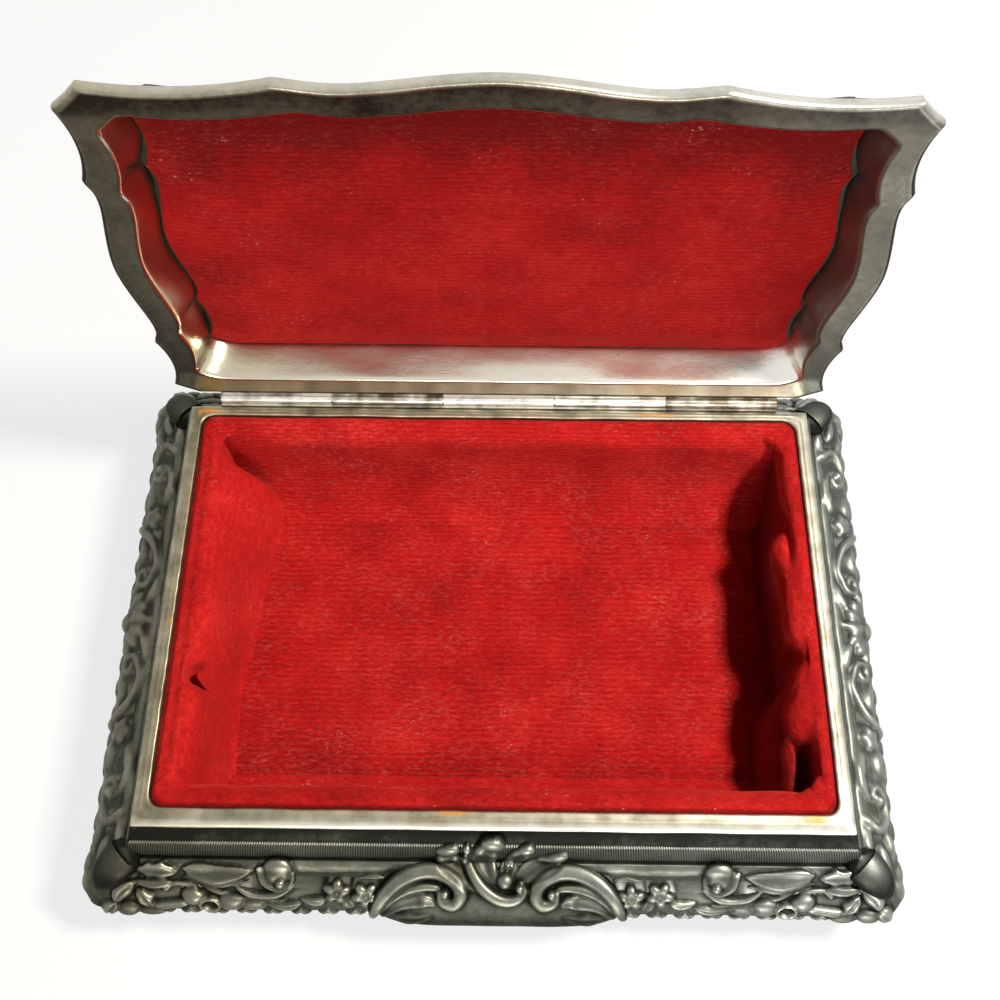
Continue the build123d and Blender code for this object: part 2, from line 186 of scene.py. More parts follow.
def arc(a, b, sagitta, count):
    """Points from a to b: the chord plus a parabola that stands off its middle by the sagitta."""
    a, b = np.array(a, float), np.array(b, float)
    t = np.linspace(0, 1, count)[:, None]
    chord = b - a
    normal = np.array([-chord[1], chord[0]]) / np.hypot(*chord)
    return a + t * chord + 4 * t * (1 - t) * sagitta * normal


def smooth_path(points, count=40, closed=False):
    """Points on a Catmull-Rom curve through the given points."""
    p = np.asarray(points, float)
    if closed:
        p = np.concatenate([p[-1:], p, p[:2]])
    else:
        p = np.concatenate([2 * p[:1] - p[1:2], p, 2 * p[-1:] - p[-2:-1]])
    spans = len(p) - 3
    t = np.linspace(0, spans, count, endpoint=not closed)
    k = np.minimum(t.astype(int), spans - 1)
    shape = (count,) + (1,) * (p.ndim - 1)
    f = (t - k).reshape(shape)
    p0, p1, p2, p3 = p[k], p[k + 1], p[k + 2], p[k + 3]
    bend = (2 * p0 - 5 * p1 + 4 * p2 - p3) * f ** 2 + (3 * p1 - p0 - 3 * p2 + p3) * f ** 3
    return 0.5 * (2 * p1 + (p2 - p0) * f + bend)


def distances(points):
    """How far along a line of points each point lies."""
    return np.r_[0, np.cumsum(np.hypot(*np.diff(points, axis=0).T))]


def joined(*lines):
    """Lines of points as one, without the first point of each that starts where another ends."""
    return np.vstack([lines[0]] + [line[1:] for line in lines[1:]])


def curve(axis, side, end, count, *points):
    """Smooth path through places that are given from an axis, mirrored to a side of it and an end."""
    return smooth_path([(axis + side * x, end * y) for x, y in points], count)


def wander(a, b, size):
    """Slow unevenness between about -1 and 1: a few sines whose lengths share no factor."""
    a, b = np.asarray(a) / size, np.asarray(b) / size
    waves = np.sin(a * 2.1 + 1.3 * np.sin(b * 1.7 + 0.4)) + np.sin(b * 2.7 + 1.1 * np.sin(a * 1.3 + 2.0))
    return 0.5 * (0.7 * waves + 0.6 * np.sin(1.9 * (a + b) + 0.8))


# Ornament: heights in millimetres over a plane of x along the side and v down it


def volute(middle, radius, start, turns, hand, count=48):
    """Spiral from its outer end inwards: the radius shrinks evenly to a quarter while the angle turns."""
    t = np.linspace(0, 1, count)
    angle = np.radians(start) + hand * 2 * np.pi * turns * t
    r = radius * (1 - 0.75 * t)
    return np.stack([middle[0] + r * np.cos(angle), middle[1] + r * np.sin(angle)], -1)


class Relief:
    """Heights of the ornament over a grid of places x and v, laid on one form after another."""

    def __init__(self, x, v, ground):
        self.x = x
        self.v = v
        self.z = ground.copy()
        self.ground = ground

    def lay(self, window, bump, gap, groove=0.16):
        """Puts a form on where it is higher, and sinks a narrow groove round it."""
        here = self.z[window]
        sunk = here - groove * np.exp(-((gap - 0.1) / 0.2) ** 2) * (gap > 0)
        base = self.ground[window]
        self.z[window] = np.where(gap <= 0, np.maximum(base + bump, here - 0.25), sunk)

    def window(self, low, high, spare):
        """Places within a rectangle that is widened by the spare."""
        inside_x = (self.x > low[0] - spare) & (self.x < high[0] + spare)
        return inside_x & (self.v > low[1] - spare) & (self.v < high[1] + spare)

    def around(self, middle, reach):
        """Window round a place, and how far its places are from it on both axes."""
        window = self.window(middle, middle, reach + 1)
        return window, self.x[window] - middle[0], self.v[window] - middle[1]

    def oval(self, middle, radius, squeeze, turn):
        """Window round a place, and how far its places are from it, shrunk along a turned axis."""
        window, x, v = self.around(middle, radius * max(1, squeeze))
        c, s = math.cos(math.radians(turn)), math.sin(math.radians(turn))
        return window, np.hypot((c * x + s * v) / squeeze, -s * x + c * v)

    def along(self, path, spare):
        """Window round a path, how far its places are from it, and the nearest point's share along it."""
        window = self.window(path.min(0), path.max(0), spare)
        x, v = self.x[window], self.v[window]
        way = distances(path)
        shares = way / np.hypot(*np.diff(path, axis=0).T).sum()
        best = np.full(x.shape, 1e9)
        share = np.zeros(x.shape)
        for a, b, s0, s1 in zip(path[:-1], path[1:], shares[:-1], shares[1:]):
            run = b - a
            t = np.clip(((x - a[0]) * run[0] + (v - a[1]) * run[1]) / (run @ run + 1e-12), 0, 1)
            gap = np.hypot(x - a[0] - t * run[0], v - a[1] - t * run[1])
            nearer = gap < best
            best = np.where(nearer, gap, best)
            share = np.where(nearer, s0 + t * (s1 - s0), share)
        return window, best, share

    def bar(self, path, width, height, tip=0.35):
        """Rounded bar along a path: a flattened arch across, narrowing to the tip's share at both ends."""
        window, gap, share = self.along(path, width + 1)
        half = width / 2 * (tip + (1 - tip) * np.sin(np.pi * np.clip(share, 0.02, 0.98)) ** 0.6)
        bump = height * np.sqrt(np.clip(1 - (gap / half) ** 3, 0, 1)) * (0.55 + 0.45 * half / (width / 2))
        self.lay(window, bump, gap - half)

    def scroll(self, path, width, height, end=0.3):
        """Bar that is widest at its start and thins to the eye of its scroll, with a fine line down it."""
        window, gap, share = self.along(path, width + 1)
        half = width / 2 * (1 - (1 - end) * share)
        across = gap / half
        bump = height * np.sqrt(np.clip(1 - across ** 3, 0, 1)) * (1 - 0.2 * np.exp(-(across / 0.3) ** 2))
        self.lay(window, bump * (1 - 0.25 * share), gap - half)

    def leaf(self, path, width, height, lobes=0, vein=0.4):
        """Leaf along a path: widest before its middle, its edge cut into lobes, with a vein sunk along it."""
        window, gap, share = self.along(path, width + 1)
        belly = np.sin(np.pi * np.clip(share, 0.01, 0.99) ** 0.75) ** 0.7
        half = width / 2 * belly * (1 - 0.28 * np.abs(np.sin(np.pi * lobes * share))) + 0.05
        across = gap / half
        bump = height * np.clip(1 - across ** 2, 0, 1) ** 0.45 * (0.5 + 0.5 * belly)
        bump = bump * (1 - vein * np.exp(-(across / 0.2) ** 2))
        self.lay(window, bump, gap - half)

    def tongue(self, path, width, height):
        """Leaf that widens to a rounded tip: dished along its middle, with a fold across it near the tip."""
        window, gap, share = self.along(path, width + 1)
        tip = np.sqrt(np.clip((1 - share) / 0.3, 0, 1))
        half = width / 2 * np.clip(0.55 + 0.75 * share, 0, 1) * tip + 0.05
        across = np.clip(gap / half, 0, 1)
        dish = 1 - 0.4 * np.exp(-(across / 0.45) ** 2)
        bump = height * (0.6 + 0.2 * share) * dish * np.sqrt(1 - across ** 4)
        bump += 0.4 * height * np.exp(-((share - 0.8) / 0.1) ** 2) * np.sqrt(1 - across ** 2)
        self.lay(window, bump, gap - half)

    def dome(self, middle, radius, height, squeeze=1.0, turn=0.0):
        """Half an ellipsoid, drawn out along its turned axis."""
        window, r = self.oval(middle, radius, squeeze, turn)
        self.lay(window, height * np.sqrt(np.clip(1 - (r / radius) ** 2, 0, 1)), r - radius)

    def bowl(self, middle, radius, height, depth, squeeze=1.0, turn=0.0):
        """Raised rim round a hollow: a ring, with the inside sunk as a parabola."""
        window, r = self.oval(middle, radius, squeeze, turn)
        r = r / radius
        rim = height * np.sqrt(np.clip(1 - ((r - 0.8) / 0.2) ** 2, 0, 1))
        inside = rim + np.where(r < 0.8, height * 0.6 - depth * (1 - (r / 0.8) ** 2), 0)
        self.lay(window, inside, (r - 1) * radius)

    def blossom(self, middle, radius, height, petals=5, turn=0.0):
        """Small flower: petals as lobes of the radius round the angle, dished, with a ball in the middle."""
        window, x, v = self.around(middle, radius)
        r = np.hypot(x, v)
        angle = np.arctan2(v, x) + math.radians(turn)
        reach = radius * (0.62 + 0.38 * np.abs(np.cos(petals * angle / 2)))
        share = np.clip(r / reach, 0, 1)
        cut = 0.35 * np.exp(-(np.cos(petals * angle / 2) / 0.25) ** 2) * share
        bump = height * (0.35 + 0.65 * np.sin(np.pi * share) ** 0.8) * (1 - cut)
        bump = np.maximum(bump, height * 0.95 * np.sqrt(np.clip(1 - (r / (0.26 * radius)) ** 2, 0, 1)))
        self.lay(window, bump, r - reach)

    def fan(self, middle, radius, height, flutes, start, end):
        """Shell: flutes that spread from a point, rounded across and scalloped at the edge."""
        window, x, v = self.around(middle, radius)
        r = np.hypot(x, v)
        turn = (np.degrees(np.arctan2(v, x)) - start) / (end - start)
        wave = np.abs(np.sin(np.pi * flutes * turn))
        reach = radius * (0.86 + 0.14 * wave)
        inside = (turn > 0) & (turn < 1)
        bump = height * (0.35 + 0.65 * (r / radius)) * (0.55 + 0.45 * wave ** 0.6)
        bump *= np.clip((1.02 - r / reach) / 0.12, 0, 1) ** 0.5
        self.lay(window, bump, np.where(inside, r - reach, 1.0))


def soften(heights, times):
    """Heights averaged with their neighbours along rows and columns, as many times as asked."""
    out = heights
    for _ in range(times):
        wide = np.pad(out, 1, mode="edge")
        out = (wide[:-2, 1:-1] + wide[2:, 1:-1] + wide[1:-1, :-2] + wide[1:-1, 2:] + 2 * out) / 6
    return out


def evened(line, times):
    """Values along a line, each mixed with its neighbours as many times as asked, with the ends kept."""
    for _ in range(times):
        line = np.concatenate([line[:1], (line[:-2] + 2 * line[1:-1] + line[2:]) / 4, line[-1:]])
    return line


def rounded_out(ring, times):
    """Rows of values round a closed loop, each mixed with its neighbours as many times as asked."""
    for _ in range(times):
        ring = (np.roll(ring, 1, axis=1) + 2 * ring + np.roll(ring, -1, axis=1)) / 4
    return ring


def wear_marks(heights, step):
    """Marks for the metal: how far each place lies under its surroundings, and how far over them."""
    near = soften(heights, 14)
    wide = soften(near, 60)
    below = np.clip(0.6 * (near - heights) + 0.8 * (wide - heights), 0, None)
    above = np.clip(0.5 * (heights - near) + 0.7 * (heights - wide), 0, None)
    return {"hollow": np.clip(below / step, 0, 1), "rubbed_and_highlight": np.clip(above / step, 0, 1)}


# Body casting


def side_frame(side):
    """Direction along a side seen from outside, its outward one, and the rim's half sizes along and out."""
    along, out = {
        "front": ((1, 0), (0, -1)),
        "right": ((0, 1), (1, 0)),
        "rear": ((-1, 0), (0, 1)),
        "left": ((0, -1), (-1, 0)),
    }[side]
    halves = (RIM_X, RIM_Y) if side in ("front", "rear") else (RIM_Y, RIM_X)
    return np.array(along, float), np.array(out, float), halves


def surface_down(points, way, v, times=0):
    """Reach, height and outward normal at the ways v down a profile, with its slope evened out some times."""
    reach, height = (np.interp(v, way, line) for line in points.T)
    slope = evened(np.stack([np.gradient(reach), np.gradient(height)], -1), times)
    slope /= np.hypot(*slope.T)[:, None]
    return reach, height, np.stack([-slope[:, 1], slope[:, 0]], -1)


def band_profile(step, above=-1.0, below=99.0):
    """Outside of the body between two ways down it, as the way, reach, height and outward normal.

    Cove, sloping fascia, bulging shoulder and the undercut below it, each a line or a shallow arc.
    """
    points = joined(
        arc((-0.6, 28.7), (1.7, 24.1), -0.75, 30),
        arc((1.7, 24.1), (3.1, 18.8), 0, 30),
        arc((3.1, 18.8), (11.8, 13.0), 1.9, 60),
        arc((11.8, 13.0), (8.6, 7.0), 0.8, 40),
    )
    way = distances(points)
    v = np.arange(0, way[-1] + step / 2, step)
    keep = (v > above) & (v < below)
    return [values[keep] for values in (v, *surface_down(points, way, v))]


def strip_places(side, reach, radius, straight, turn):
    """Places along and out from the middle of a side, with the angle of its outward direction.

    The straight part is shared out evenly, and half of each corner's arc is turned through at both ends.
    """
    _, _, (half_along, half_out) = side_frame(side)
    reach, radius = reach[:, None], radius[:, None]
    share = np.linspace(-1, 1, straight)[None, :]
    flat_end = half_along + reach - radius
    angle = np.linspace(0, np.pi / 4, turn + 1)[None, 1:]
    arc_along = flat_end + radius * np.sin(angle)
    arc_out = half_out + reach - radius * (1 - np.cos(angle))
    along = np.hstack([-arc_along[:, ::-1], share * flat_end, arc_along])
    out = np.hstack([arc_out[:, ::-1], 0 * share + half_out + reach, arc_out])
    flat = np.zeros((1, straight))
    turned = np.hstack([-angle[:, ::-1], flat, angle]) + 0 * along
    return along, out, turned


def strip_points(side, along, out, height):
    """Points in the frame from places along and out from a side."""
    direction, outward, _ = side_frame(side)
    flat = along[..., None] * direction + out[..., None] * outward
    return np.concatenate([flat, (height + 0 * along)[..., None]], -1)


def closed_strip(name, side, along, out, turned, height, normal, lift, depth, marks):
    """A strip, raised in front along its normal, with its back a depth behind and its ends capped."""
    face = strip_points(
        side,
        along + lift * normal[:, :1] * np.sin(turned),
        out + lift * normal[:, :1] * np.cos(turned),
        height[:, None] + lift * normal[:, 1:],
    )
    rows = np.linspace(len(height) - 1, 0, 4).astype(int)
    back = strip_points(
        side,
        along[rows] - depth * np.sin(turned[rows]),
        out[rows] - depth * np.cos(turned[rows]),
        height[rows, None],
    )
    spread = {mark: np.concatenate([values, values[rows]]) for mark, values in marks.items()}
    return carried(name, np.concatenate([face, back]), spread)


def band_ground(v):
    """Heights of the plain band: a flat moulding along its top, a bead at its foot, a sunk field between."""
    top = 0.62 / (1 + np.exp((v - 13.1) / 0.16))
    edge = -0.75 * np.exp(-((v - 10.95) / 0.22) ** 2)
    foot = 0.75 * np.exp(-((v - 27.4) / 0.8) ** 4)
    return top + edge + foot


def foot_border(relief, half):
    """Row of small lobes that hang over the body's foot, side by side."""
    count = int(2 * half / 4.6)
    for k in range(count):
        x = -half + (k + 0.5) * 2 * half / count
        relief.leaf(np.array([[x, 21.6], [x, 24.0], [x, 26.6]]), 3.6, 0.8, vein=0.5)


def paired_scrolls(relief):
    """Both halves of the front's ornament outside of its middle: flowers, balls, long leaves and scrolls."""
    for side in (-1, 1):
        at = partial(curve, ORNAMENT_AXIS, side, 1, 36)

        def spot(x, v, side=side):
            return (ORNAMENT_AXIS + side * x, v)

        relief.leaf(at((24.5, 20.6), (25.4, 18.9), (25.2, 17.2)), 2.6, 0.7)
        relief.blossom(spot(22.3, 17.3), 2.7, 1.25, 5, 20 * side)
        relief.blossom(spot(27.2, 16.7), 2.6, 1.15, 5, -12 * side)
        relief.leaf(at((28.9, 18.3), (30.9, 18.9), (33.4, 18.4)), 2.0, 1.05)
        relief.leaf(at((19.2, 14.2), (21.5, 13.9), (24.4, 14.3)), 1.1, 0.5, vein=0.2)

        relief.bar(at((44.2, 15.9), (41.2, 17.7), (37.6, 17.6), (34.4, 15.6)), 1.7, 0.95, 0.4)
        relief.dome(spot(37.2, 13.3), 2.5, 1.6, 1.1)
        relief.scroll(
            at((40.2, 13.0), (39.4, 15.2), (37.2, 16.3), (34.9, 15.2), (34.6, 13.6)), 1.5, 1.15, 0.6
        )
        relief.dome(spot(36.6, 15.2), 1.1, 1.75)

        relief.leaf(at((52.9, 12.9), (47.6, 14.3), (41.4, 13.2)), 4.4, 1.45, vein=0.08)
        relief.bar(at((53.2, 14.2), (47.6, 16.0), (42.0, 14.9)), 0.9, 0.75, 0.5)
        relief.bar(at((50.0, 15.8), (46.0, 17.6), (41.0, 18.9), (36.0, 18.9)), 1.3, 0.6)

        relief.scroll(
            at((58.0, 20.4), (53.2, 19.4), (50.6, 17.6), (51.8, 15.8), (54.6, 15.4), (56.0, 16.6)),
            2.1, 1.2, 0.45,
        )
        relief.dome(spot(51.2, 17.9), 1.8, 1.5, 1.3, -30 * side)
        relief.leaf(at((54.2, 13.4), (57.6, 13.3), (61.4, 13.0)), 3.6, 1.45, 3, 0.2)
        relief.leaf(at((54.8, 15.2), (58.2, 15.6), (62.2, 14.9)), 2.0, 1.1, vein=0.2)
        relief.leaf(at((61.2, 15.4), (63.4, 17.0), (64.6, 19.6)), 3.2, 1.5, vein=0.2)
        relief.leaf(at((60.6, 16.6), (59.4, 18.6), (58.2, 21.0)), 3.4, 1.3, 2)

        relief.dome(spot(45.0, 19.4), 2.0, 1.25, 1.4)
        relief.bowl(spot(48.6, 19.8), 1.9, 1.0, 0.8, 1.1)
        relief.dome(spot(41.2, 20.0), 1.6, 0.9, 1.5)
        relief.leaf(at((33.2, 19.6), (36.0, 20.4), (39.4, 19.8)), 2.2, 0.9)
        relief.dome(spot(62.6, 21.6), 2.0, 1.3, 1.2)
        relief.leaf(at((64.4, 19.4), (65.8, 21.4), (66.4, 24.0)), 3.0, 1.4)
        relief.dome(spot(58.6, 22.4), 1.8, 1.1, 1.4)


def side_scrolls(relief):
    """Ornament of the left and the right side: a shell in the middle, scrolls and flowers outwards."""
    relief.fan((0.0, 21.0), 7.6, 1.5, 7, -165, -15)
    relief.leaf(smooth_path([(0.3, 18.6), (-0.4, 15.6), (0.6, 12.6)], 24), 2.4, 1.75, 2)
    relief.dome((0.0, 19.9), 2.1, 1.9)
    for side in (-1, 1):
        at = partial(curve, 0, side, 1, 36)
        relief.scroll(
            np.vstack(
                [
                    at((19.0, 20.4), (16.0, 15.8), (11.4, 13.6), (8.4, 14.4)),
                    [(side * x, v) for x, v in volute((8.6, 16.6), 2.2, -95, 1.1, -1)],
                ]
            ),
            2.0, 1.5, 0.4,
        )
        relief.leaf(at((10.6, 19.8), (13.4, 17.6), (15.8, 18.8)), 2.4, 1.1)
        relief.leaf(at((3.2, 14.6), (5.4, 13.3), (8.2, 13.0)), 1.8, 1.4)
        relief.blossom((side * 20.4, 16.2), 2.5, 1.2, 5, 15)
        relief.leaf(at((22.4, 18.9), (24.6, 18.1), (27.0, 18.7)), 2.2, 1.0)
        relief.leaf(at((23.0, 14.0), (27.4, 12.9), (31.6, 14.4)), 2.5, 1.45, 3)
        relief.scroll(
            at((34.6, 13.2), (36.0, 15.6), (33.8, 18.2), (30.2, 18.2), (28.8, 16.2), (30.4, 15.0)),
            1.9, 1.4, 0.4,
        )
        relief.dome((side * 31.0, 16.6), 1.0, 1.6)
        relief.leaf(at((35.6, 13.4), (38.6, 12.8), (41.2, 13.6)), 2.0, 1.3, 2)
        relief.leaf(at((36.2, 16.8), (38.6, 18.6), (41.4, 19.2)), 2.6, 1.35, 2)
        relief.leaf(at((38.4, 15.2), (40.6, 16.0), (43.0, 17.2)), 2.2, 1.2)
        relief.dome((side * 24.8, 20.4), 1.7, 0.9, 1.5)
        relief.dome((side * 42.6, 21.4), 2.0, 1.2, 1.3)
        relief.leaf(at((44.2, 19.0), (45.4, 21.4), (46.0, 24.0)), 3.0, 1.3)


def round_off(v):
    """Radius of the band's vertical corner: sharp under the fascia, and rounder towards the foot."""
    return 0.35 + (CORNER_RADIUS - 0.35) * np.clip((v - 11.0) / 9.0, 0, 1) ** 1.2


def relief_strip(side, step):
    """The bulging band of one side with its ornament, from the fascia to the foot.

    The left and the right side are worn flatter and brighter than the front and the rear.
    """
    v, reach, height, normal = band_profile(step, above=10.75)
    _, _, (half_along, _) = side_frame(side)
    straight = int(2 * (half_along + 9) / step)
    along, out, turned = strip_places(side, reach, round_off(v), straight, 10)
    way = v[:, None] + 0 * along
    relief = Relief(along, way, band_ground(way))
    foot_border(relief, half_along + 4)
    if side in ("front", "rear"):
        paired_scrolls(relief)
        lift = 0.92 * soften(relief.z, int(0.6 / step))
    else:
        side_scrolls(relief)
        lift = 0.8 * soften(relief.z, int(0.6 / step) + 10)
    lift = lift + 0.08 * wander(along, way, 2.4)
    marks = wear_marks(lift, FULL_WEAR)
    if side in ("left", "right"):
        marks["rubbed_and_highlight"] = np.clip(0.2 + 0.7 * marks["rubbed_and_highlight"], 0, 1)
    lift = lift - GROUND_SINK * np.clip((v[:, None] - 10.9) / 2.0, 0.3, 1)
    return closed_strip("relief_" + side, side, along, out, turned, height, normal, lift, 1.4, marks)


def reeding(side):
    """Fine upright reeds on the sloping fascia of one side: half sine waves at the reeds' pitch."""
    v, reach, height, normal = band_profile(0.6, 4.7, 11.1)
    _, _, (half_along, _) = side_frame(side)
    per_reed = 4
    count = int(2 * (half_along + 2.4) / REED_PITCH)
    radius = np.full(len(v), 0.3)
    along, out, turned = strip_places(side, reach, radius, count * per_reed + 1, 2)
    column = np.arange(along.shape[1]) - 2
    reed = np.abs(np.sin(np.pi * column / per_reed)) * (np.abs(turned[0]) < 0.01)
    worn = 0.75 + 0.25 * wander(along, v[:, None] + 0 * along, 7.0)
    fade = np.clip((v - 4.9) / 0.5, 0, 1) * np.clip((10.95 - v) / 0.4, 0, 1)
    lift = REED_HEIGHT * reed[None, :] * worn * fade[:, None] - 0.12 * (1 - fade[:, None])
    ridge = reed[None, :] + 0 * along
    marks = {"hollow": 0.35 - 0.35 * ridge, "rubbed_and_highlight": 0.2 + 0.3 * ridge}
    return closed_strip("reeding_" + side, side, along, out, turned, height, normal, lift, 0.6, marks)


def rounded_loop(half_x, front, back, radius, along_x, along_y, turn):
    """Points round a rounded rectangle, anticlockwise from the front left, one row for each size given."""
    half_x, front, back, radius = (np.asarray(a, float)[:, None] for a in (half_x, front, back, radius))
    share_x, share_y = np.linspace(-1, 1, along_x)[None], np.linspace(0, 1, along_y)[None]
    angle = np.linspace(0, np.pi / 2, turn + 2)[None, 1:-1]
    c, s = radius * np.cos(angle), radius * np.sin(angle)
    x, low, high = half_x - radius, -front + radius, back - radius
    side_y = low + share_y * (high - low)
    xs = [
        share_x * x, x + s, half_x + 0 * share_y, x + c,
        -share_x * x, -x - s, -half_x + 0 * share_y, -x - c,
    ]
    ys = [
        -front + 0 * share_x, low - c, side_y, high + s,
        back + 0 * share_x, high + c, side_y[:, ::-1], low - s,
    ]
    return np.hstack(xs), np.hstack(ys)


def ring_points(profile):
    """Points of a closed profile carried round the rim, each with its half sizes, corner radius and height.

    The metal is a few hundredths of a millimetre uneven near the rim.
    """
    half_x, front, back, radius, height = np.array(profile).T
    x, y = rounded_loop(half_x, front, back, radius, 260, 170, 5)
    z = height[:, None] + 0 * x
    top = np.clip((z - 26.0) / 3.5, 0, 1)
    x = x + 0.05 * top * wander(x + 3 * y, y - x, 4.0) * np.sign(x)
    y = y + 0.06 * top * wander(x, y + 9, 5.0)
    z = z + 0.035 * top * wander(y + 4, x, 3.0)
    return np.stack([x, y, z], -1), height


def outer_rings(radius, *places):
    """Places of a profile on the outside, each given by its reach out from the rim and its height."""
    return [(RIM_X + reach, RIM_Y + reach, RIM_Y + reach, radius, height) for reach, height in places]


def ledge_ring(share, height):
    """Point of a profile on the ledge, by its share of the way from the rim's edge to the opening's."""
    return (
        RIM_X + share * (OPENING_X - RIM_X),
        RIM_Y + share * (OPENING_FRONT - RIM_Y),
        RIM_Y + share * (OPENING_BACK - RIM_Y),
        0.3 + share * (OPENING_RADIUS - 0.3),
        height,
    )


def rim_ledge():
    """The ledge round the opening: flat inside, bevelled outside, with a step between and an under side.

    Old glue has crept out in spots, each given by its middle and its half sizes, and along the left edge.
    """
    flat = (
        (1, 27.0), (1, 28.6), (1, 29.7), (0.97, 29.92), (0.9, 30), (0.8, 29.97), (0.7, 29.95), (0.62, 29.97),
        (0.56, 30),
    )
    bevel = ((0.5, 29.99), (0.42, 29.93), (0.3, 29.82), (0.18, 29.68), (0.08, 29.5), (0.02, 29.3), (0, 29.1))
    profile = [ledge_ring(share, height) for share, height in flat + bevel]
    profile += outer_rings(0.3, (-0.02, 28.95), (-0.08, 28.82), (-0.25, 28.72), (-0.7, 28.68), (-1.8, 28.0))
    points, height = ring_points(profile)
    x, y = points[..., 0], points[..., 1]
    inner = (np.abs(height - 29.97) < 0.06)[:, None]
    crept = np.clip(0.15 + 0.8 * wander(y, x, 1.7), 0, 0.8)
    left_edge = np.exp(-((x + OPENING_X + 0.4) / 0.4) ** 2) * crept
    spots = (
        (-6.4, -36.1, 3.6, 0.45), (52.4, -36.5, 2.4, 0.8), (-55.6, 37.4, 2.2, 0.7), (30.0, 37.4, 5.0, 0.4),
    )
    spread = sum(np.exp(-((x - sx) / wide) ** 2 - ((y - sy) / deep) ** 2) for sx, sy, wide, deep in spots)
    glue = np.clip(spread + left_edge, 0, 1)
    # Painted highlight: the bevel on the outside along the front, marked to render brighter.
    front_bevel_highlight = np.clip((29.95 - height) / 0.3, 0, 1)[:, None] * (height > 29)[:, None] * (y < -RIM_Y + 1.6)
    marks = {"glue": glue, "inner": inner + 0 * x, "front_bevel_highlight": front_bevel_highlight + 0 * x}
    return build("rim_ledge", points, grid_quads(*x.shape, True, True), sharp=50.0, marks=marks)


def body_shell():
    """The casting behind its ornament: lip, cove, fascia, the backing of the band, skirt and inner walls."""
    profile = [ledge_ring(1.0, 26.9), ledge_ring(0.97, 28.4)]
    profile += outer_rings(0.3, (-1.6, 28.6), (-0.7, 28.64))
    profile += outer_rings(0.3, *arc((-0.62, 28.5), (1.7, 24.1), -0.75, 14))
    profile += outer_rings(0.3, *arc((1.55, 23.9), (2.6, 18.9), 0, 5))
    for place in arc((2.6, 18.4), (9.6, 13.0), 1.6, 9):
        profile += outer_rings(0.4 + 0.5 * (place[0] - 2.6), place)
    skirt = ((9.3, 11), (8.3, 9), (7.9, 7.6), (7.85, 7.1), (7.7, 7.0), (7.2, 7.0), (7.0, 7.1), (7.0, 9.0))
    profile += outer_rings(3.4, *skirt)
    profile += outer_rings(0.8, (7.8, 12.8), (1.4, 18.6), (-1.9, 26.0))
    points, height = ring_points(profile)
    x = points[..., 0]
    # Painted shade: the dark mark rises up the cove to its full under the rim's overhanging lip, over the
    # tarnish there, and stays high on the inner walls under the ledge.
    deep = np.interp(height, [7, 18.4, 23.9, 24.3, 26, 27.8, 28.5], [0.5, 0.3, 0.4, 0.55, 0.62, 0.8, 1.0])
    marks = {"hollow": deep[:, None] + 0 * x, "rubbed_and_highlight": 0.05 + 0 * x}
    return build("body_shell", points, grid_quads(*x.shape, True, True), sharp=50.0, marks=marks)


def cartouche_profile(step):
    """Surface under the middle ornament: straight down over the cove and fascia, then out to the apron."""
    points = joined(
        arc((0.0, 28.3), (1.7, 24.1), 0, 20),
        arc((1.7, 24.1), (3.1, 18.8), 0, 24),
        arc((3.1, 18.8), (12.2, 13.2), 2.0, 60),
        arc((12.2, 13.2), (10.2, 8.2), 0.8, 30),
    )
    way = 0.9 + distances(points)
    v = np.arange(way[0], way[-1], step)
    return v, *surface_down(points, way, v, 12)


def middle_ornament(relief):
    """The shell and leaves in the middle of the front, between two scrolls, over a smooth apron."""
    for side in (-1, 1):
        at = partial(curve, ORNAMENT_AXIS, side, 1, 60)
        relief.leaf(at((11.0, 20.6), (14.8, 21.4), (19.4, 20.8)), 3.6, 0.7, 2)
        relief.tongue(at((19.4, 20.6), (16.4, 18.4), (12.4, 17.6), (10.4, 18.4)), 3.0, 0.9)
        relief.bar(at((20.4, 20.4), (17.6, 17.2), (14.2, 15.6), (10.8, 15.4), (9.2, 16.4)), 1.9, 0.95, 0.5)
        relief.bar(
            at(
                (21.0, 20.4), (19.2, 17.0), (16.6, 14.4), (13.2, 12.9), (10.0, 12.9),
                (7.2, 14.4), (6.3, 16.4), (7.4, 18.0), (9.2, 17.6), (9.5, 16.4),
            ),
            3.1, 1.6, 0.5,
        )
        relief.dome((ORNAMENT_AXIS + side * 8.9, 16.3), 0.95, 1.7)

    relief.tongue(smooth_path([(-0.4, 16.0), (-4.4, 13.2), (-7.0, 10.4), (-7.7, 5.4)]), 5.0, 1.35)
    relief.tongue(smooth_path([(3.4, 14.6), (6.0, 12.6), (8.8, 11.0), (11.4, 7.8)]), 4.8, 1.35)
    relief.leaf(smooth_path([(-1.2, 15.0), (-3.6, 11.2), (-4.4, 8.0), (-4.2, 4.4)]), 1.7, 1.5, vein=0.1)
    relief.tongue(smooth_path([(2.2, 14.4), (2.9, 11.2), (4.2, 8.2), (5.9, 4.6)]), 3.6, 1.35)
    relief.tongue(smooth_path([(0.9, 16.4), (-1.1, 12.4), (-1.6, 8.0), (0.2, 2.8)]), 5.0, 1.6)
    relief.tongue(smooth_path([(1.4, 14.4), (2.0, 12.2), (3.3, 9.2)]), 2.2, 1.75)
    relief.dome((-7.5, 6.4), 1.5, 1.25, 1.6, -15)
    relief.dome((-4.3, 5.6), 0.9, 1.3)
    relief.dome((0.0, 4.2), 1.6, 1.45, 1.4, 10)
    relief.dome((5.5, 5.8), 1.2, 1.3, 1.4, -10)
    relief.dome((10.6, 8.6), 1.4, 1.25, 1.7, -25)
    relief.dome((2.0, 14.2), 1.6, 1.5)
    relief.bar(
        smooth_path(
            [(-4.7, 8.8), (-3.9, 12.2), (-1.8, 15.2), (1.0, 17.0), (3.6, 17.1), (5.1, 15.9), (4.7, 14.6)], 60
        ),
        2.3, 1.75, 0.55,
    )
    relief.dome((4.5, 15.3), 0.95, 1.95)


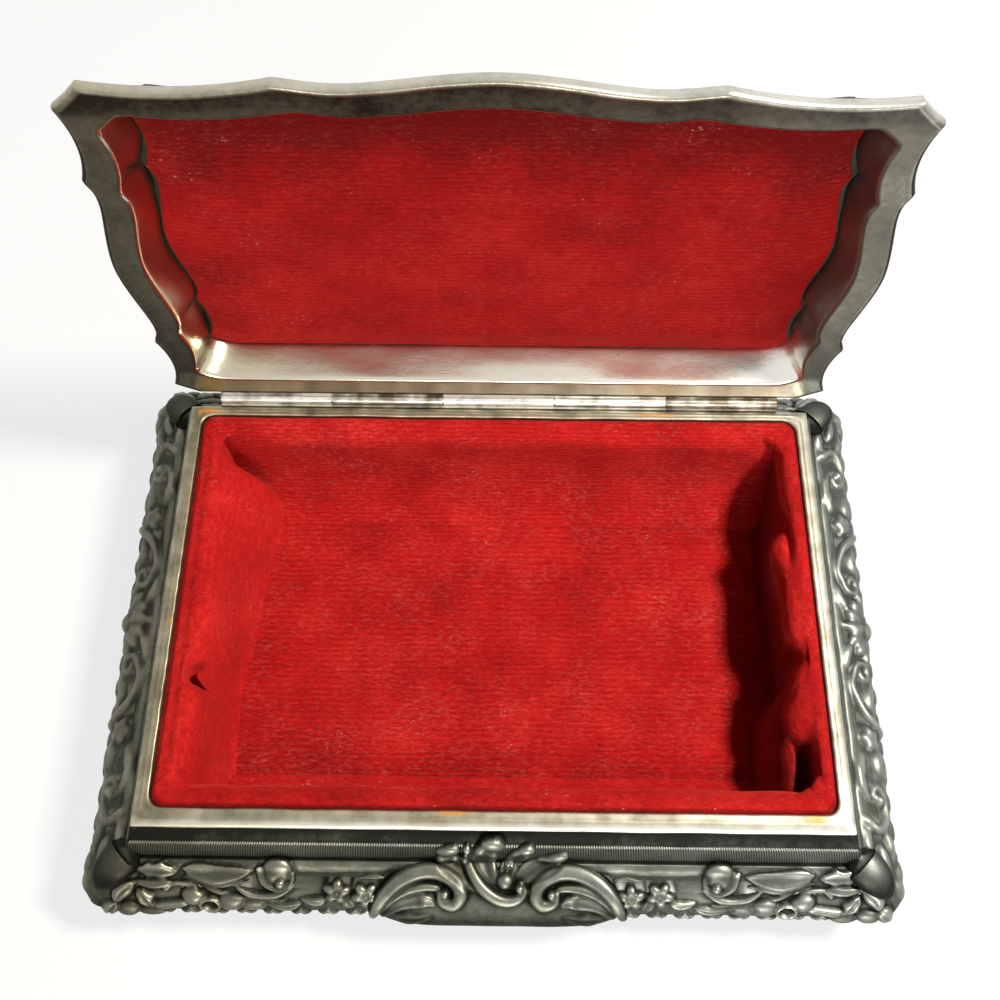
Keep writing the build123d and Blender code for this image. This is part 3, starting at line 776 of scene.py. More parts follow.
def cartouche(side):
    """The middle ornament of the front or the rear: a raised patch whose plain parts lie under the band."""
    step = 0.15
    v, reach, height, normal = cartouche_profile(step)
    half = 22.6
    share = np.arange(-half, half, step)
    along = share[None, :] + 0 * reach[:, None]
    _, _, (_, half_out) = side_frame(side)
    out = half_out + reach[:, None] + 0 * along
    way = v[:, None] + 0 * along
    ground = -1.15 - 0.9 * np.exp(-((way - 3.2) / 2.2) ** 2)
    middle = np.clip(1 - np.abs((along - ORNAMENT_AXIS) / 21.0) ** 6, 0, 1)
    apron = 1.2 * middle * np.exp(-((way - 22.0) / 3.6) ** 2)
    ground = ground + 1.1 * middle * np.clip((way - 11.2) / 1.5, 0, 1) + apron
    relief = Relief(along, way, ground)
    raised = Relief(along, way, 0 * ground)
    middle_ornament(raised)
    lift = soften(np.where(raised.z > 0.08, raised.z + 0.5 * apron, relief.z), 3)
    marks = wear_marks(np.maximum(lift, -0.2), FULL_WEAR)
    # The mark is set darker towards the foot of the patch.
    marks["hollow"] = np.clip(marks["hollow"] + 0.5 * np.clip((way - 18.5) / 3.0, 0, 1), 0, 1)
    lift = lift - 0.35 * np.clip((v[:, None] - 9.0) / 4.0, 0, 1) + 0.04 * wander(along, way, 3.0)
    turned = 0 * along
    return closed_strip("cartouche_" + side, side, along, out, turned, height, normal, lift, 2.4, marks)


def corner_shield(name, sx, sy):
    """Smooth shield on a corner: an arch carried down the corner, pointed above and below."""
    v, reach, height, _ = band_profile(0.1)
    a = np.linspace(0, 1, 44)
    place = 8.4 + 9.2 * a
    r, z = np.interp(place, v, reach), np.interp(place, v, height)
    r, z = evened(r - 0.3 * round_off(place), 8), evened(z, 8)
    middle = np.stack([sx * (RIM_X + r - 0.3), sy * (RIM_Y + r - 0.3), z], -1)
    run = np.gradient(middle, axis=0)
    run /= np.linalg.norm(run, axis=1)[:, None]
    across = np.array([sx, -sy, 0]) / math.sqrt(2)
    off = np.cross(run, across)
    off *= np.sign(off[:, :1] * sx + 1e-9)
    narrow = np.clip(1 - np.clip((a - 0.35) / 0.65, 0, 1) ** 2, 0.003, 1) ** 0.6
    width = 3.3 * np.clip(a / 0.3, 0.03, 1) ** 0.55 * narrow
    bulge = 0.35 + 2.1 * np.sin(np.pi * np.clip(a, 0, 1) ** 0.7) ** 0.7 * np.clip(width / 3.3, 0, 1) ** 0.5
    angle = np.linspace(0, 2 * np.pi, 56, endpoint=False)
    side, up = np.cos(angle), np.sin(angle)
    arch = np.clip(up, 0, 1)[None, :] ** 0.8 * bulge[:, None]
    keel = 1.6 * up[None, :] * np.clip(width, 0.1, 1)[:, None]
    points = middle[:, None] + width[:, None, None] * side[None, :, None] * across
    points = points + np.where(up > 0, arch, keel)[..., None] * off[:, None]
    # Marks: the crest is worn bright, the edges where it meets the band are darker, and the lower end is
    # painted darker as shade under the shield's bulge.
    high = np.clip(up, 0, 1)[None, :] * np.sin(np.pi * a ** 0.6)[:, None] ** 2
    low = np.clip(1.1 - up, 0, 1)[None, :] * 0.7 + 0.6 * np.clip((a - 0.5) / 0.5, 0, 1)[:, None]
    marks = {"rubbed_and_highlight": 0.3 * high, "hollow": np.clip(low + 0.12, 0, 1)}
    return stacked("shield_" + name, points, 60.0, marks)


def foot_shape(name, sx, sy):
    """Cast foot: rounded squares stacked up to a waist over a toe, ribbed, with a leaf on its corner."""
    t = np.linspace(0, 1, 40)
    z = 7.25 * (1 - t)
    half = np.interp(z, [0, 0.35, 1.3, 3.4, 5.6, 7.0, 7.3], [4.15, 4.6, 4.75, 3.75, 4.75, 5.85, 5.9])
    half = evened(half, 2)
    kick = np.interp(z, [0, 3.5, 7.3], [1.0, 1.0, 0.0])
    angle = np.linspace(0, 2 * np.pi, 96, endpoint=False)
    square = (np.abs(np.cos(angle)) ** 3.2 + np.abs(np.sin(angle)) ** 3.2) ** (-1 / 3.2)
    outward = math.atan2(sy, sx)
    turn = np.abs((angle - outward + np.pi) % (2 * np.pi) - np.pi)
    body = np.sin(np.pi * np.clip(t, 0, 1))[:, None]
    ribs = 0.12 * np.cos(12 * (angle - outward))[None, :] * body ** 0.5
    leaf = 0.5 * np.exp(-(turn / 0.35) ** 2)[None, :] * np.sin(np.pi * np.clip(t * 1.15, 0, 1))[:, None]
    groove = 0.25 * np.exp(-((turn - 0.5) / 0.12) ** 2)[None] * body
    radius = half[:, None] * square[None, :] + ribs + leaf - groove
    x = sx * (RIM_X + 3.4 + kick[:, None]) + radius * np.cos(angle)
    y = sy * (RIM_Y + 3.4 + kick[:, None]) + radius * np.sin(angle)
    points = np.stack([x, y, z[:, None] + 0 * x], -1)
    marks = {"rubbed_and_highlight": np.clip(0.35 * (leaf + ribs) / 0.4, 0, 1), "hollow": np.clip(0.45 - ribs, 0, 1)}
    return stacked("cast_foot_" + name, points, 45.0, marks)


# Lid


def opened(x, u, n):
    """Places given across the closed lid, away from its hinge and up from its seat, turned open."""
    angle = math.radians(OPEN_ANGLE)
    back, up = LID_WARP * x * u / LID_FRONT - u, n + LID_SEAT - RIM_TOP
    y = HINGE_Y + back * math.cos(angle) + up * math.sin(angle)
    z = RIM_TOP - back * math.sin(angle) + up * math.cos(angle)
    return np.stack(np.broadcast_arrays(x, y, z), -1)


def parabola(a, b, c, count):
    """Points on the parabola from a over b to c."""
    t = np.linspace(0, 1, count)[:, None]
    a, b, c = (np.array(p, float) for p in (a, b, c))
    return a * (1 - t) * (1 - 2 * t) + 4 * b * t * (1 - t) + c * t * (2 * t - 1)


def lid_outline():
    """Scalloped outline of the lid as x and the distance from the hinge: ears, dips, cusps and swells."""
    half = [
        arc((0, 1.5), (57.3, 1.5), 0, 50),
        arc((57.3, 1.5), (61.4, 4.1), 0, 8),
        parabola((61.4, 4.1), (60.2, 11.2), (61.6, 18.35), 34),
        smooth_path([(61.6, 18.35), (60.7, 23.65), (62.9, 39.95), (60.7, 56.25), (61.6, 61.55)], 90),
        parabola((61.6, 61.55), (60.2, 68.9), (61.4, 76.2), 34),
        arc((61.4, 76.2), (57.3, 80.2), 0.12, 14),
        parabola((57.3, 80.2), (44.1, 79.4), (30.9, 81.4), 50),
        smooth_path([(30.9, 81.4), (20.5, 80.5), (0, 83.0), (-20.5, 80.5), (-30.9, 81.4)], 121)[:61],
    ]
    right = np.vstack([part[:-1] for part in half[:-1]] + [half[-1]])
    left = right[-2:0:-1] * (-1, 1)
    return np.vstack([right, left])


def drawn_in(*inset):
    """The lid's outline scaled towards its middle, so that its sides move in by about each inset."""
    outline = lid_outline()
    inset = np.asarray(inset, float)[:, None]
    x = outline[None, :, 0] * (1 - inset / LID_HALF_WIDTH)
    u = LID_MIDDLE + (outline[None, :, 1] - LID_MIDDLE) * (1 - inset / LID_HALF_LENGTH)
    return x, u


def lid_shell():
    """The lid's casting: its scalloped outline carried round a profile of insets and heights over the seat.

    A shell open on the inside, with a sloping inner wall, rim face, rounded edge, and a shoulder that leans
    in to the crowned top. Its marks paint shade on the rim face, darkest along the front and to the left, on
    the right inner wall and along both margins of the edge, and paint highlights on the face by the hinge and
    along the front's edge.
    """
    inside = [
        (12.0, 7.8), (7.8, 7.8), (7.45, 7.7), (7.28, 7.4), (7.1, 6.7), (6.8, 5.6), (6.48, 4.5), (6.18, 3.4),
        (5.9, 2.4), (5.64, 1.5), (5.44, 0.8), (5.3, 0.4), (5.12, 0.15), (4.9, 0.05),
    ]
    face = [(4.6, 0.06), (3.8, 0.11), (2.8, 0.15), (1.8, 0.15), (1.1, 0.12), (0.72, 0.08)]
    edge = [
        (0.5, 0.06), (0.3, 0.16), (0.14, 0.36), (0.04, 0.65), (0.0, 1.0), (0.02, 1.4), (0.1, 1.75),
        (0.26, 2.0), (0.5, 2.14), (0.75, 2.12), (0.95, 2.0),
    ]
    outside = [
        (1.1, 2.15), (1.7, 2.8), (2.3, 3.35), (2.9, 3.85), (3.3, 4.1), (3.7, 4.45), (4.5, 5.3), (5.2, 6.05),
        (5.9, 6.7), (6.5, 7.3), (7.1, 7.8), (7.9, 8.2), (9.0, 8.3), (12.0, 8.4),
    ]
    profile = np.array(inside + face + edge + outside)
    inset, height = profile.T
    x, u = drawn_in(*inset)
    n = height[:, None] + 0 * x
    place = np.arange(len(profile))[:, None]
    on_wall = place < len(inside) - 1
    on_face = (place >= len(inside)) & (place < len(inside) + len(face))
    on_edge = (place >= len(inside) + len(face) - 1) & (place < len(inside) + len(face) + len(edge))
    depth = np.clip((inset - 2.5) / 3.0, 0, 1)[:, None]
    x = x + depth * (rounded_out(x, 12) - x)
    u = u + depth * (rounded_out(u, 12) - u)
    deep = np.clip((n - 0.4) / 3.0, 0, 1) * on_wall
    x = x + deep * 0.55 * wander(u + n, 0 * x, 6.5) * np.sign(x)
    u = u + deep * (0.22 * wander(x, 0.5 * n, 16.0) + 0.06 * wander(x, n, 5.0))
    n = n + np.where(on_face, 0.03 * wander(x, u, 3.0), 0)
    # Painted light: the rim face is painted darkest along the front and to the left, and bright by the hinge;
    # the right inner wall is painted darker as shade; the edge is painted darker along both margins and away
    # from the front, and highlighted along the front.
    right = np.clip((x + LID_HALF_WIDTH) / (2 * LID_HALF_WIDTH), 0, 1)
    by_hinge = np.clip((9.0 - u) / 2.0, 0, 1)
    along_front = np.clip((u - 74.0) / 3.0, 0, 1)
    face_painted_shade = (0.58 - 0.3 * right - 0.3 * (1 - along_front)) * (1 - by_hinge)
    wall_painted_shade = 0.5 * np.clip((x - 44.0) / 6.0, 0, 1) * np.clip((u - 12.0) / 8.0, 0, 1)
    across_edge = np.clip((place - len(inside) - len(face)) / (len(edge) - 1), 0, 1)
    edge_painted_shade = 0.3 * (1 - along_front) + 0.55 * np.abs(2 * across_edge - 1) ** 1.6
    hollow = np.where(on_face, face_painted_shade, np.where(on_wall, wall_painted_shade, np.where(on_edge, edge_painted_shade, 0.35)))
    edge_painted_highlight = np.where(on_edge, 0.15 + 0.6 * along_front, np.where(on_face, by_hinge, 0))
    rubbed_and_highlight = np.where(on_wall, 1 - wall_painted_shade, edge_painted_highlight)
    return stacked("lid_shell", opened(x, u, n), 50.0, {"hollow": hollow, "rubbed_and_highlight": rubbed_and_highlight})


def star_grid(outline, middle, across, down):
    """Grid over the inside of an outline: a square's points, scaled so that its edge falls on the outline.

    Returns the places and the share of the way from the middle to the edge.
    """
    a, b = np.meshgrid(across, down)
    half_x, half_u = np.abs(outline[:, 0]).max(), np.abs(outline[:, 1] - middle).max()
    share = np.maximum(np.abs(a), np.abs(b))
    x, u = a * half_x, b * half_u
    angle = np.arctan2(u, x)
    rim = np.arctan2(outline[:, 1] - middle, outline[:, 0])
    radius = np.hypot(outline[:, 0], outline[:, 1] - middle)
    order = np.argsort(rim)
    rim, radius = rim[order], radius[order]
    rim = np.r_[rim[-1] - 2 * np.pi, rim, rim[0] + 2 * np.pi]
    radius = np.r_[radius[-1], radius, radius[0]]
    wanted = np.interp(angle, rim, radius)
    edge = np.hypot(x, u) / np.maximum(share, 1e-9)
    scale = np.where(share > 1e-9, wanted / np.maximum(edge, 1e-9), 1.0)
    return x * scale, middle + u * scale, share


def lid_board():
    """Board behind the lid's velvet: the lid's outline drawn in, with its edges taken off."""
    x, u = drawn_in(8.0, 7.9, 7.9, 8.0)
    return stacked("lid_board", opened(x, u, np.array([6.9, 6.95, 7.65, 7.7])[:, None]), 40.0)


def lid_ornament(relief):
    """Ornament of the lid's outside: a flower in a beaded oval, shells on its axes, scrolls outwards."""
    for turn in np.radians(np.arange(0, 360, 10)):
        relief.dome((19.5 * math.cos(turn), 13.0 * math.sin(turn)), 0.95, 0.75)
    for turn in np.radians(np.arange(0, 360, 45) + 22.5):
        out = np.array([math.cos(turn), math.sin(turn)])
        path = smooth_path([5.5 * out * (1.2, 1), 9.0 * out * (1.35, 1), 11.0 * out * (1.45, 0.98)], 16)
        relief.leaf(path, 4.0, 1.0, 2)
    relief.blossom((0, 0), 7.6, 1.2, 6, 0)
    relief.blossom((0, 0), 5.0, 1.8, 5, 30)
    relief.blossom((0, 0), 2.9, 2.3, 4, 10)
    for side in (-1, 1):
        relief.fan((0, side * 30.5), 8.4, 1.5, 7, *((-170, -10) if side > 0 else (10, 170)))
        relief.dome((0, side * 29.6), 1.9, 1.9)
        relief.fan((side * 49.5, 0), 8.2, 1.4, 7, *((100, 260) if side > 0 else (-80, 80)))
        relief.dome((side * 48.8, 0), 1.9, 1.8)
        for end in (-1, 1):
            at = partial(curve, 0, side, end, 48)
            relief.bar(
                at((8.0, 25.6), (13.5, 27.4), (20.0, 29.6), (27.0, 28.8), (31.0, 24.6), (28.8, 20.8),
                   (25.2, 21.8), (25.8, 24.4)),
                2.6, 1.6, 0.5,
            )
            relief.bar(
                at((48.0, 9.6), (50.0, 14.6), (49.2, 20.6), (44.6, 25.4), (39.0, 24.8), (37.6, 20.6),
                   (40.4, 18.4), (42.4, 20.6)),
                2.6, 1.6, 0.5,
            )
            relief.leaf(at((31.6, 27.2), (37.0, 28.8), (43.4, 28.8)), 3.4, 1.3, 4)
            relief.leaf(at((45.6, 24.4), (48.0, 26.4), (49.4, 28.4)), 3.0, 1.3, 2)
            relief.leaf(at((31.0, 18.6), (33.6, 13.0), (38.8, 8.4)), 4.0, 1.4, 3)
            relief.leaf(at((24.0, 17.4), (27.0, 12.4), (29.4, 6.6)), 3.6, 1.3, 3)
            relief.blossom((side * 34.6, end * 15.8), 3.4, 1.6, 5, 20)
            relief.blossom((side * 20.4, end * 21.8), 2.6, 1.3, 5, 0)
            relief.leaf(at((17.0, 20.4), (12.8, 19.6), (9.4, 21.6)), 2.6, 1.2, 2)


def lid_relief():
    """The lid's crowned top with its raised ornament: a patch whose edge is sunk under the shell round it."""
    edge = np.hstack([line.T for line in drawn_in(7.0)])
    x, u, share = star_grid(edge, LID_MIDDLE, np.linspace(-1, 1, 340), np.linspace(-1, 1, 230))
    crown = np.interp(
        share,
        [0, 0.3, 0.6, 0.8, 0.9, 0.94, 0.97, 0.985, 0.995, 1],
        [10.4, 10.3, 10.0, 9.5, 9.0, 8.75, 8.5, 8.3, 7.9, 7.2],
    )
    relief = Relief(x, u - LID_MIDDLE, 0 * x)
    lid_ornament(relief)
    marks = wear_marks(relief.z, 0.5)
    inner = np.clip((0.93 - share) / 0.08, 0, 1)
    bead = 0.25 * np.exp(-((share - 0.958) / 0.008) ** 2)
    n = crown + 1.15 * np.tanh(soften(relief.z, 1) / 1.5) * inner + bead + 0.04 * wander(x, u, 6.0) * inner
    return patch("lid_relief", opened(x, u, n), marks)


# Velvet


def opening_halves(side):
    """Half sizes of the opening, along a side and out to it."""
    return (OPENING_X, OPENING_HALF) if side in ("front", "rear") else (OPENING_HALF, OPENING_X)


def wall_liner(name, side, along, controls, around, shade_under_roll=0.0):
    """Velvet of one wall: a closed section, smooth through its control places, carried along the wall.

    A control is its distance in from the opening's edge and its height, each the same all along or an array.
    The roll turns through half of a rounded corner at both ends, so that the four rolls meet in a mitre. What
    hangs under it runs straight on, into the velvet of the next wall. Its mark paints shade along the roll's
    edge against the metal, and shade under the roll is how much darker the wall below the roll is painted.
    """
    direction, outward, _ = side_frame(side)
    half_along, half_out = opening_halves(side)
    places = np.stack([np.stack(np.broadcast_arrays(u, z, 0 * along)[:2], -1) for u, z in controls])
    section = smooth_path(places, around, closed=True)
    inset, height = section[..., 0], section[..., 1]
    low = np.clip((28.4 - height) / 1.6, 0, 1)
    plain = np.clip(inset[:, :1], 0, 3.4)
    radius = OPENING_RADIUS + 0.45 * plain
    limit = half_along - plain - radius
    share = np.clip((np.abs(along) - limit) / (half_along * (1 + CORNER_SHARE) - limit), 0, 1)
    turn = np.pi / 4 * share
    beyond = (1 - low) * radius * np.sin(turn) + low * share * (half_along - 2.05 - limit)
    a = np.sign(along) * (np.minimum(np.abs(along), limit) + beyond)
    out = half_out - inset - (1 - low) * radius * (1 - np.cos(turn))
    flat = a[..., None] * direction + out[..., None] * outward + (0, OPENING_MIDDLE)
    points = np.concatenate([flat, height[..., None]], -1)
    # Painted shade: darker along the roll's edge against the metal, and down the wall below the roll.
    pressed_and_shade = np.clip((0.9 - inset) / 0.8, 0, 1) + shade_under_roll * np.clip((27.5 - height) / 5, 0, 1)
    return carried(name, points, {"pressed_and_shade": pressed_and_shade})


def wall_places(half, step):
    """Places along a wall: evenly spaced to its ends, then eight through the half corner beyond each end."""
    flat = np.linspace(-half, half, int(2 * half / step))
    beyond = half * (1 + CORNER_SHARE * np.linspace(0, 1, 9)[1:])
    return np.concatenate([-beyond[::-1], flat, beyond])


def over_card(sink):
    """Control places of a wall's velvet that all walls share: up behind it, over its card and the roll.

    Sink lowers the roll.
    """
    return [
        (4.0, 11.2), (2.15, 12.0), (2.15, 20.0), (2.1, 27.0), (1.2, 28.0), (0.2, 28.5),
        (0.16, 29.3 + sink), (0.9, 29.93 + sink), (2.1, 29.9 + sink),
    ]


def lofted(a, stations, slack=0.0):
    """Control places of a wall's face at the places a, from sections given at stations along the wall.

    Straight runs join the sections and are rounded off over about two millimetres. Slack is how far the
    cloth wanders in and out under its roll.
    """
    at = [place for place, _ in stations]
    sections = np.array([section for _, section in stations], float)
    fine = np.linspace(at[0], at[-1], 400)
    kernel = np.hanning(21) / np.hanning(21).sum()
    controls = []
    for k in range(sections.shape[1]):
        straight = (np.pad(np.interp(fine, at, line), 10, mode="edge") for line in sections[:, k].T)
        u, z = (np.interp(a, fine, np.convolve(line, kernel, "valid")) for line in straight)
        controls.append((u + (slack * wander(a, 4.0 * k + 0 * a, 8.0) if 0 < k < 6 else 0), z))
    return controls


# Section of a plain wall's face, in from the opening's edge and up, from the roll down to the floor
PLAIN_FACE = [
    (3.2, 29.15), (3.7, 27.5), (4.0, 24.4), (4.4, 20.4), (5.0, 16.4), (6.0, 13.9), (7.4, 12.6), (9.5, 11.7),
]


def away_from_ends(a, free):
    """One along a wall's middle, falling to nought over the last six millimetres of its free part."""
    return np.clip((free - np.abs(a)) / 6, 0, 1)


def velvet_front():
    """Velvet of the front wall: it rolls over its card and runs straight down into the floor."""
    a = wall_places(OPENING_X, 0.8)
    sink = away_from_ends(a, OPENING_X - 6) * (0.14 * wander(a, 11 + 0 * a, 8.0) - 0.1)
    face = lofted(a, [(-63, PLAIN_FACE), (63, PLAIN_FACE)], 0.15)
    return wall_liner("velvet_wall_front", "front", a, over_card(sink) + face, 110)


def velvet_rear():
    """Velvet of the back wall: under a wide roll it is steep, then it runs out on the floor in one cove."""
    a = wall_places(OPENING_X, 0.8)
    sink = away_from_ends(a, OPENING_X - 6) * (0.12 * wander(a, 5 + 0 * a, 9.0) - 0.12)
    cove = [(3.9, 28.95), (4.7, 27.2), (5.1, 24.6), (5.9, 21.2)]
    cove += [(7.4, 17.6), (9.6, 14.9), (12.6, 13.0), (16.6, 11.5)]
    corner = PLAIN_FACE[:2] + cove[2:]
    stations = [(-63, corner), (-52, corner), (-45, cove), (45, cove), (52, corner), (63, corner)]
    face = lofted(a, stations, 0.25)
    return wall_liner("velvet_wall_rear", "rear", a, over_card(sink) + face, 120)


def slope(top, foot, bulge):
    """Section of cloth that leans in from the roll to a foot: straight, but for a bulge halfway down."""
    run = []
    for k, z in enumerate((24.6, 21.0, 17.4, 14.4, 12.6), 1):
        run.append((top + (foot - top) * k / 5 + bulge * math.sin(math.pi * k / 5), z))
    return [(3.5, 29.2), (top, 28.2), *run, (foot + 1.9, 11.4)]


def velvet_left():
    """Velvet of the left wall, which has come away from its card and slopes down like a bolster."""
    a = wall_places(OPENING_HALF, 0.5)
    cove = PLAIN_FACE[:2] + [(4.3, 24.6), (5.0, 21.0), (6.4, 17.4), (8.2, 14.8), (10.6, 13.0), (13.6, 11.4)]
    slit = [(2.7, 29.0), (2.9, 24.6), (3.8, 24.2), (4.7, 27.6)]
    slit += [(6.4, 21.6), (7.5, 17.2), (8.8, 12.8), (10.6, 11.4)]
    front_end = PLAIN_FACE[:2] + slope(4.0, 9.4, 0.4)[2:]
    stations = [
        (-40, cove), (-28.2, cove), (-26.4, slope(5.4, 14.6, 2.0)), (-20, slope(5.2, 13.6, 1.6)),
        (-12, slope(5.1, 11.8, 1.2)), (0, slope(5.0, 10.4, 0.9)), (11.0, slope(4.7, 8.9, 0.5)),
        (12.2, slit), (14.6, slit), (15.8, slope(4.6, 8.6, 0.5)), (31, slope(4.4, 9.2, 0.4)),
        (34, front_end), (40, front_end),
    ]
    over = over_card(-0.1 - 0.8 * away_from_ends(a, 33))
    return wall_liner("velvet_wall_left", "left", a, over + lofted(a, stations, 0.25), 120)


def velvet_right():
    """Velvet of the right wall: steep and drawn back at the rear, then two folds that sag in under the roll.

    Between the second fold and the roll the cloth gapes, wider towards the front.
    """
    a = wall_places(OPENING_HALF, 0.45)
    foot = (7.0, 11.4)
    steep = [(3.0, 29.2), (3.3, 27.6), (3.1, 24.4), (3.1, 20.4), (3.4, 16.4), (4.0, 13.6), (5.0, 12.4), foot]
    crease = [(2.7, 29.1), (2.5, 27.9), (3.0, 26.0), (3.7, 22.0), (3.7, 17.0), (4.1, 13.8), (5.0, 12.4), foot]
    first = [(2.6, 29.1), (3.0, 27.8), (4.6, 28.1), (6.2, 26.4), (5.2, 22.4), (4.3, 17.0), (4.9, 12.8), foot]
    end = [(5.2, 12.6), foot]
    between = [(3.1, 29.4), (4.3, 28.8), (4.9, 27.2), (4.6, 24.0), (4.1, 19.6), (4.3, 14.6), *end]
    narrow = [(2.0, 29.3), (2.6, 28.3), (3.0, 26.6), (3.4, 23.4), (3.7, 19.0), (4.2, 14.6), *end]
    second = [(2.9, 29.3), (4.4, 28.6), (6.0, 27.1), (7.4, 24.0)]
    second += [(8.0, 19.4), (8.4, 15.0), (9.6, 12.6), (11.4, 11.4)]
    gaping = [(2.3, 28.7), (2.7, 24.6), (4.3, 23.9), (5.6, 26.3)]
    gaping += [(7.8, 24.4), (8.8, 19.0), (9.8, 13.4), (11.6, 11.4)]
    open_wide = [(2.3, 28.5), (2.8, 22.0), (4.9, 21.6), (6.3, 24.8)]
    open_wide += [(8.2, 22.4), (9.2, 17.4), (10.0, 13.0), (11.6, 11.4)]
    front_end = [*PLAIN_FACE[:1], (3.0, 26.0), *open_wide[2:]]
    stations = [
        (-40, front_end), (-34, front_end), (-30, open_wide), (-25.4, gaping), (-22, second), (-18, second),
        (-13, between), (-9.6, narrow), (-5.5, between), (3, between), (11.5, first), (16, crease),
        (21, steep), (31, steep), (35, PLAIN_FACE), (40, PLAIN_FACE),
    ]
    controls = over_card(-0.08) + lofted(a, stations, 0.12)
    # The last argument paints the right wall darker below its roll as shade, where it faces away from the
    # lamp.
    return wall_liner("velvet_wall_right", "right", a, controls, 130, 1.8)


def crowded(count):
    """Shares from -1 to 1 that lie closer together towards both ends, as a sine spaces them."""
    return np.sin(np.linspace(-np.pi / 2, np.pi / 2, count))


def velvet_floor():
    """Velvet of the floor over thin wadding: a low crown that falls off by a steep power of the share."""
    corners = [(54.3, -34.0), (54.3, 34.0), (-54.3, 34.0), (-54.3, -34.0)]
    outline = np.vstack([arc(p, q, 0, 40)[:-1] for p, q in zip(corners, corners[1:] + corners[:1])])
    x, y, share = star_grid(outline, 0.0, crowded(150), crowded(100))
    y = y + OPENING_MIDDLE
    lie = 0.16 * wander(x, y, 14.0) + 0.07 * wander(x + 5, y, 6.0)
    z = FLOOR_CARD_TOP + (1.85 + lie) * np.sqrt(np.clip(1 - share ** 22, 0, 1)) + 0.25 * (1 - share ** 2)
    z = np.where(share > 0.999, FLOOR_CARD_TOP, z)
    # The mark darkens the floor towards the front wall, and less towards the back wall.
    pressed_and_shade = np.clip((-20 - y) / 14, 0, 1) + 0.4 * np.clip((y - 16) / 12, 0, 1)
    return patch("velvet_floor_pad", np.stack([x, y, z], -1), {"pressed_and_shade": pressed_and_shade})


def velvet_lid():
    """Velvet panel of the lid: the lid's outline drawn in, softly crowned and turned down at its edge."""
    edge = np.hstack([line.T for line in drawn_in(7.75)])
    x, u, share = star_grid(edge, LID_MIDDLE, crowded(150), crowded(110))
    lie = 0.12 * wander(x, u, 15.0) + 0.05 * wander(x, u + 4, 5.0)
    thick = (1.05 + lie) * np.sqrt(np.clip(1 - share ** 26, 0, 1)) + 0.25 * (1 - share ** 2)
    n = np.where(share > 0.999, LID_VELVET_BACK, LID_VELVET_BACK - thick)
    # Painted shadow: darkest towards the lid's front edge, which stands at the top when the lid is open, as
    # if its rim shaded the velvet; a little darker towards both sides.
    pressed_and_shade = 1.6 * np.clip((u - 52) / 20, 0, 1) ** 1.5 + 0.25 * np.clip((np.abs(x) - 34) / 20, 0, 1)
    return patch("velvet_lid_panel", opened(x, u, n), {"pressed_and_shade": pressed_and_shade})


def floor_slack(points):
    """How freely the floor's velvet may move: not at all near its board, fully 0.8 mm above that."""
    return np.clip((points[:, 2] - 10.6) / 0.8, 0, 1)


def lid_slack(points):
    """How freely the lid's velvet may move: not at all near its board, fully 0.5 mm away from that."""
    angle = math.radians(OPEN_ANGLE)
    up = (points[:, 1] - HINGE_Y) * math.sin(angle) + (points[:, 2] - RIM_TOP) * math.cos(angle)
    return np.clip((6.4 - (up + RIM_TOP - LID_SEAT)) / 0.5, 0, 1)


def wall_slack(side, points):
    """How freely a wall's velvet may move: not at all at its roll or in a corner, fully 3 mm from both."""
    direction, outward, _ = side_frame(side)
    half_along, half_out = opening_halves(side)
    flat = points[:, :2] - (0, OPENING_MIDDLE)
    in_from_roll = np.clip((half_out - 1.3 - flat @ outward) / 3, 0, 1)
    return in_from_roll * np.clip((half_along - 3 - np.abs(flat @ direction)) / 3, 0, 1)


def puff(piece, most, slack):
    """Swells a pad as cloth over wadding and lets its folds settle.

    Slack gives how freely each point may move, from none to one, and no point moves by more than most, in
    millimetres.
    """
    scene = bpy.context.scene
    source = piece.data.copy()
    source.transform(Matrix.Scale(CLOTH_SCALE, 4))
    work = bpy.data.objects.new(piece.name + "_cloth", source)
    scene.collection.objects.link(work)
    start = np.zeros(len(source.vertices) * 3, np.float32)
    source.vertices.foreach_get("co", start)
    start = start.reshape(-1, 3)
    free = slack(start / CLOTH_SCALE / MM)
    pins = work.vertex_groups.new(name="held")
    pins.add(np.flatnonzero(free <= 0).tolist(), 1.0, "REPLACE")
    cloth = work.modifiers.new("cloth", "CLOTH")
    cloth.settings.quality = 3
    cloth.settings.use_pressure = True
    cloth.settings.uniform_pressure_force = CLOTH_PRESSURE
    cloth.settings.vertex_group_mass = "held"
    cloth.settings.effector_weights.gravity = 0
    cloth.point_cache.frame_start = 1
    cloth.point_cache.frame_end = CLOTH_FRAMES
    for number in range(1, CLOTH_FRAMES + 1):
        scene.frame_set(number)
    swollen = work.evaluated_get(bpy.context.evaluated_depsgraph_get()).to_mesh()
    end = np.zeros(len(source.vertices) * 3, np.float32)
    swollen.vertices.foreach_get("co", end)
    move = end.reshape(-1, 3) - start
    far = np.linalg.norm(move, axis=1)
    move *= (free * np.minimum(1, most * MM * CLOTH_SCALE / np.maximum(far, 1e-9)))[:, None]
    scene.frame_set(1)
    piece.data.vertices.foreach_set("co", ((start + move) / CLOTH_SCALE).ravel())
    piece.data.update()
    bpy.data.objects.remove(work)


# Materials


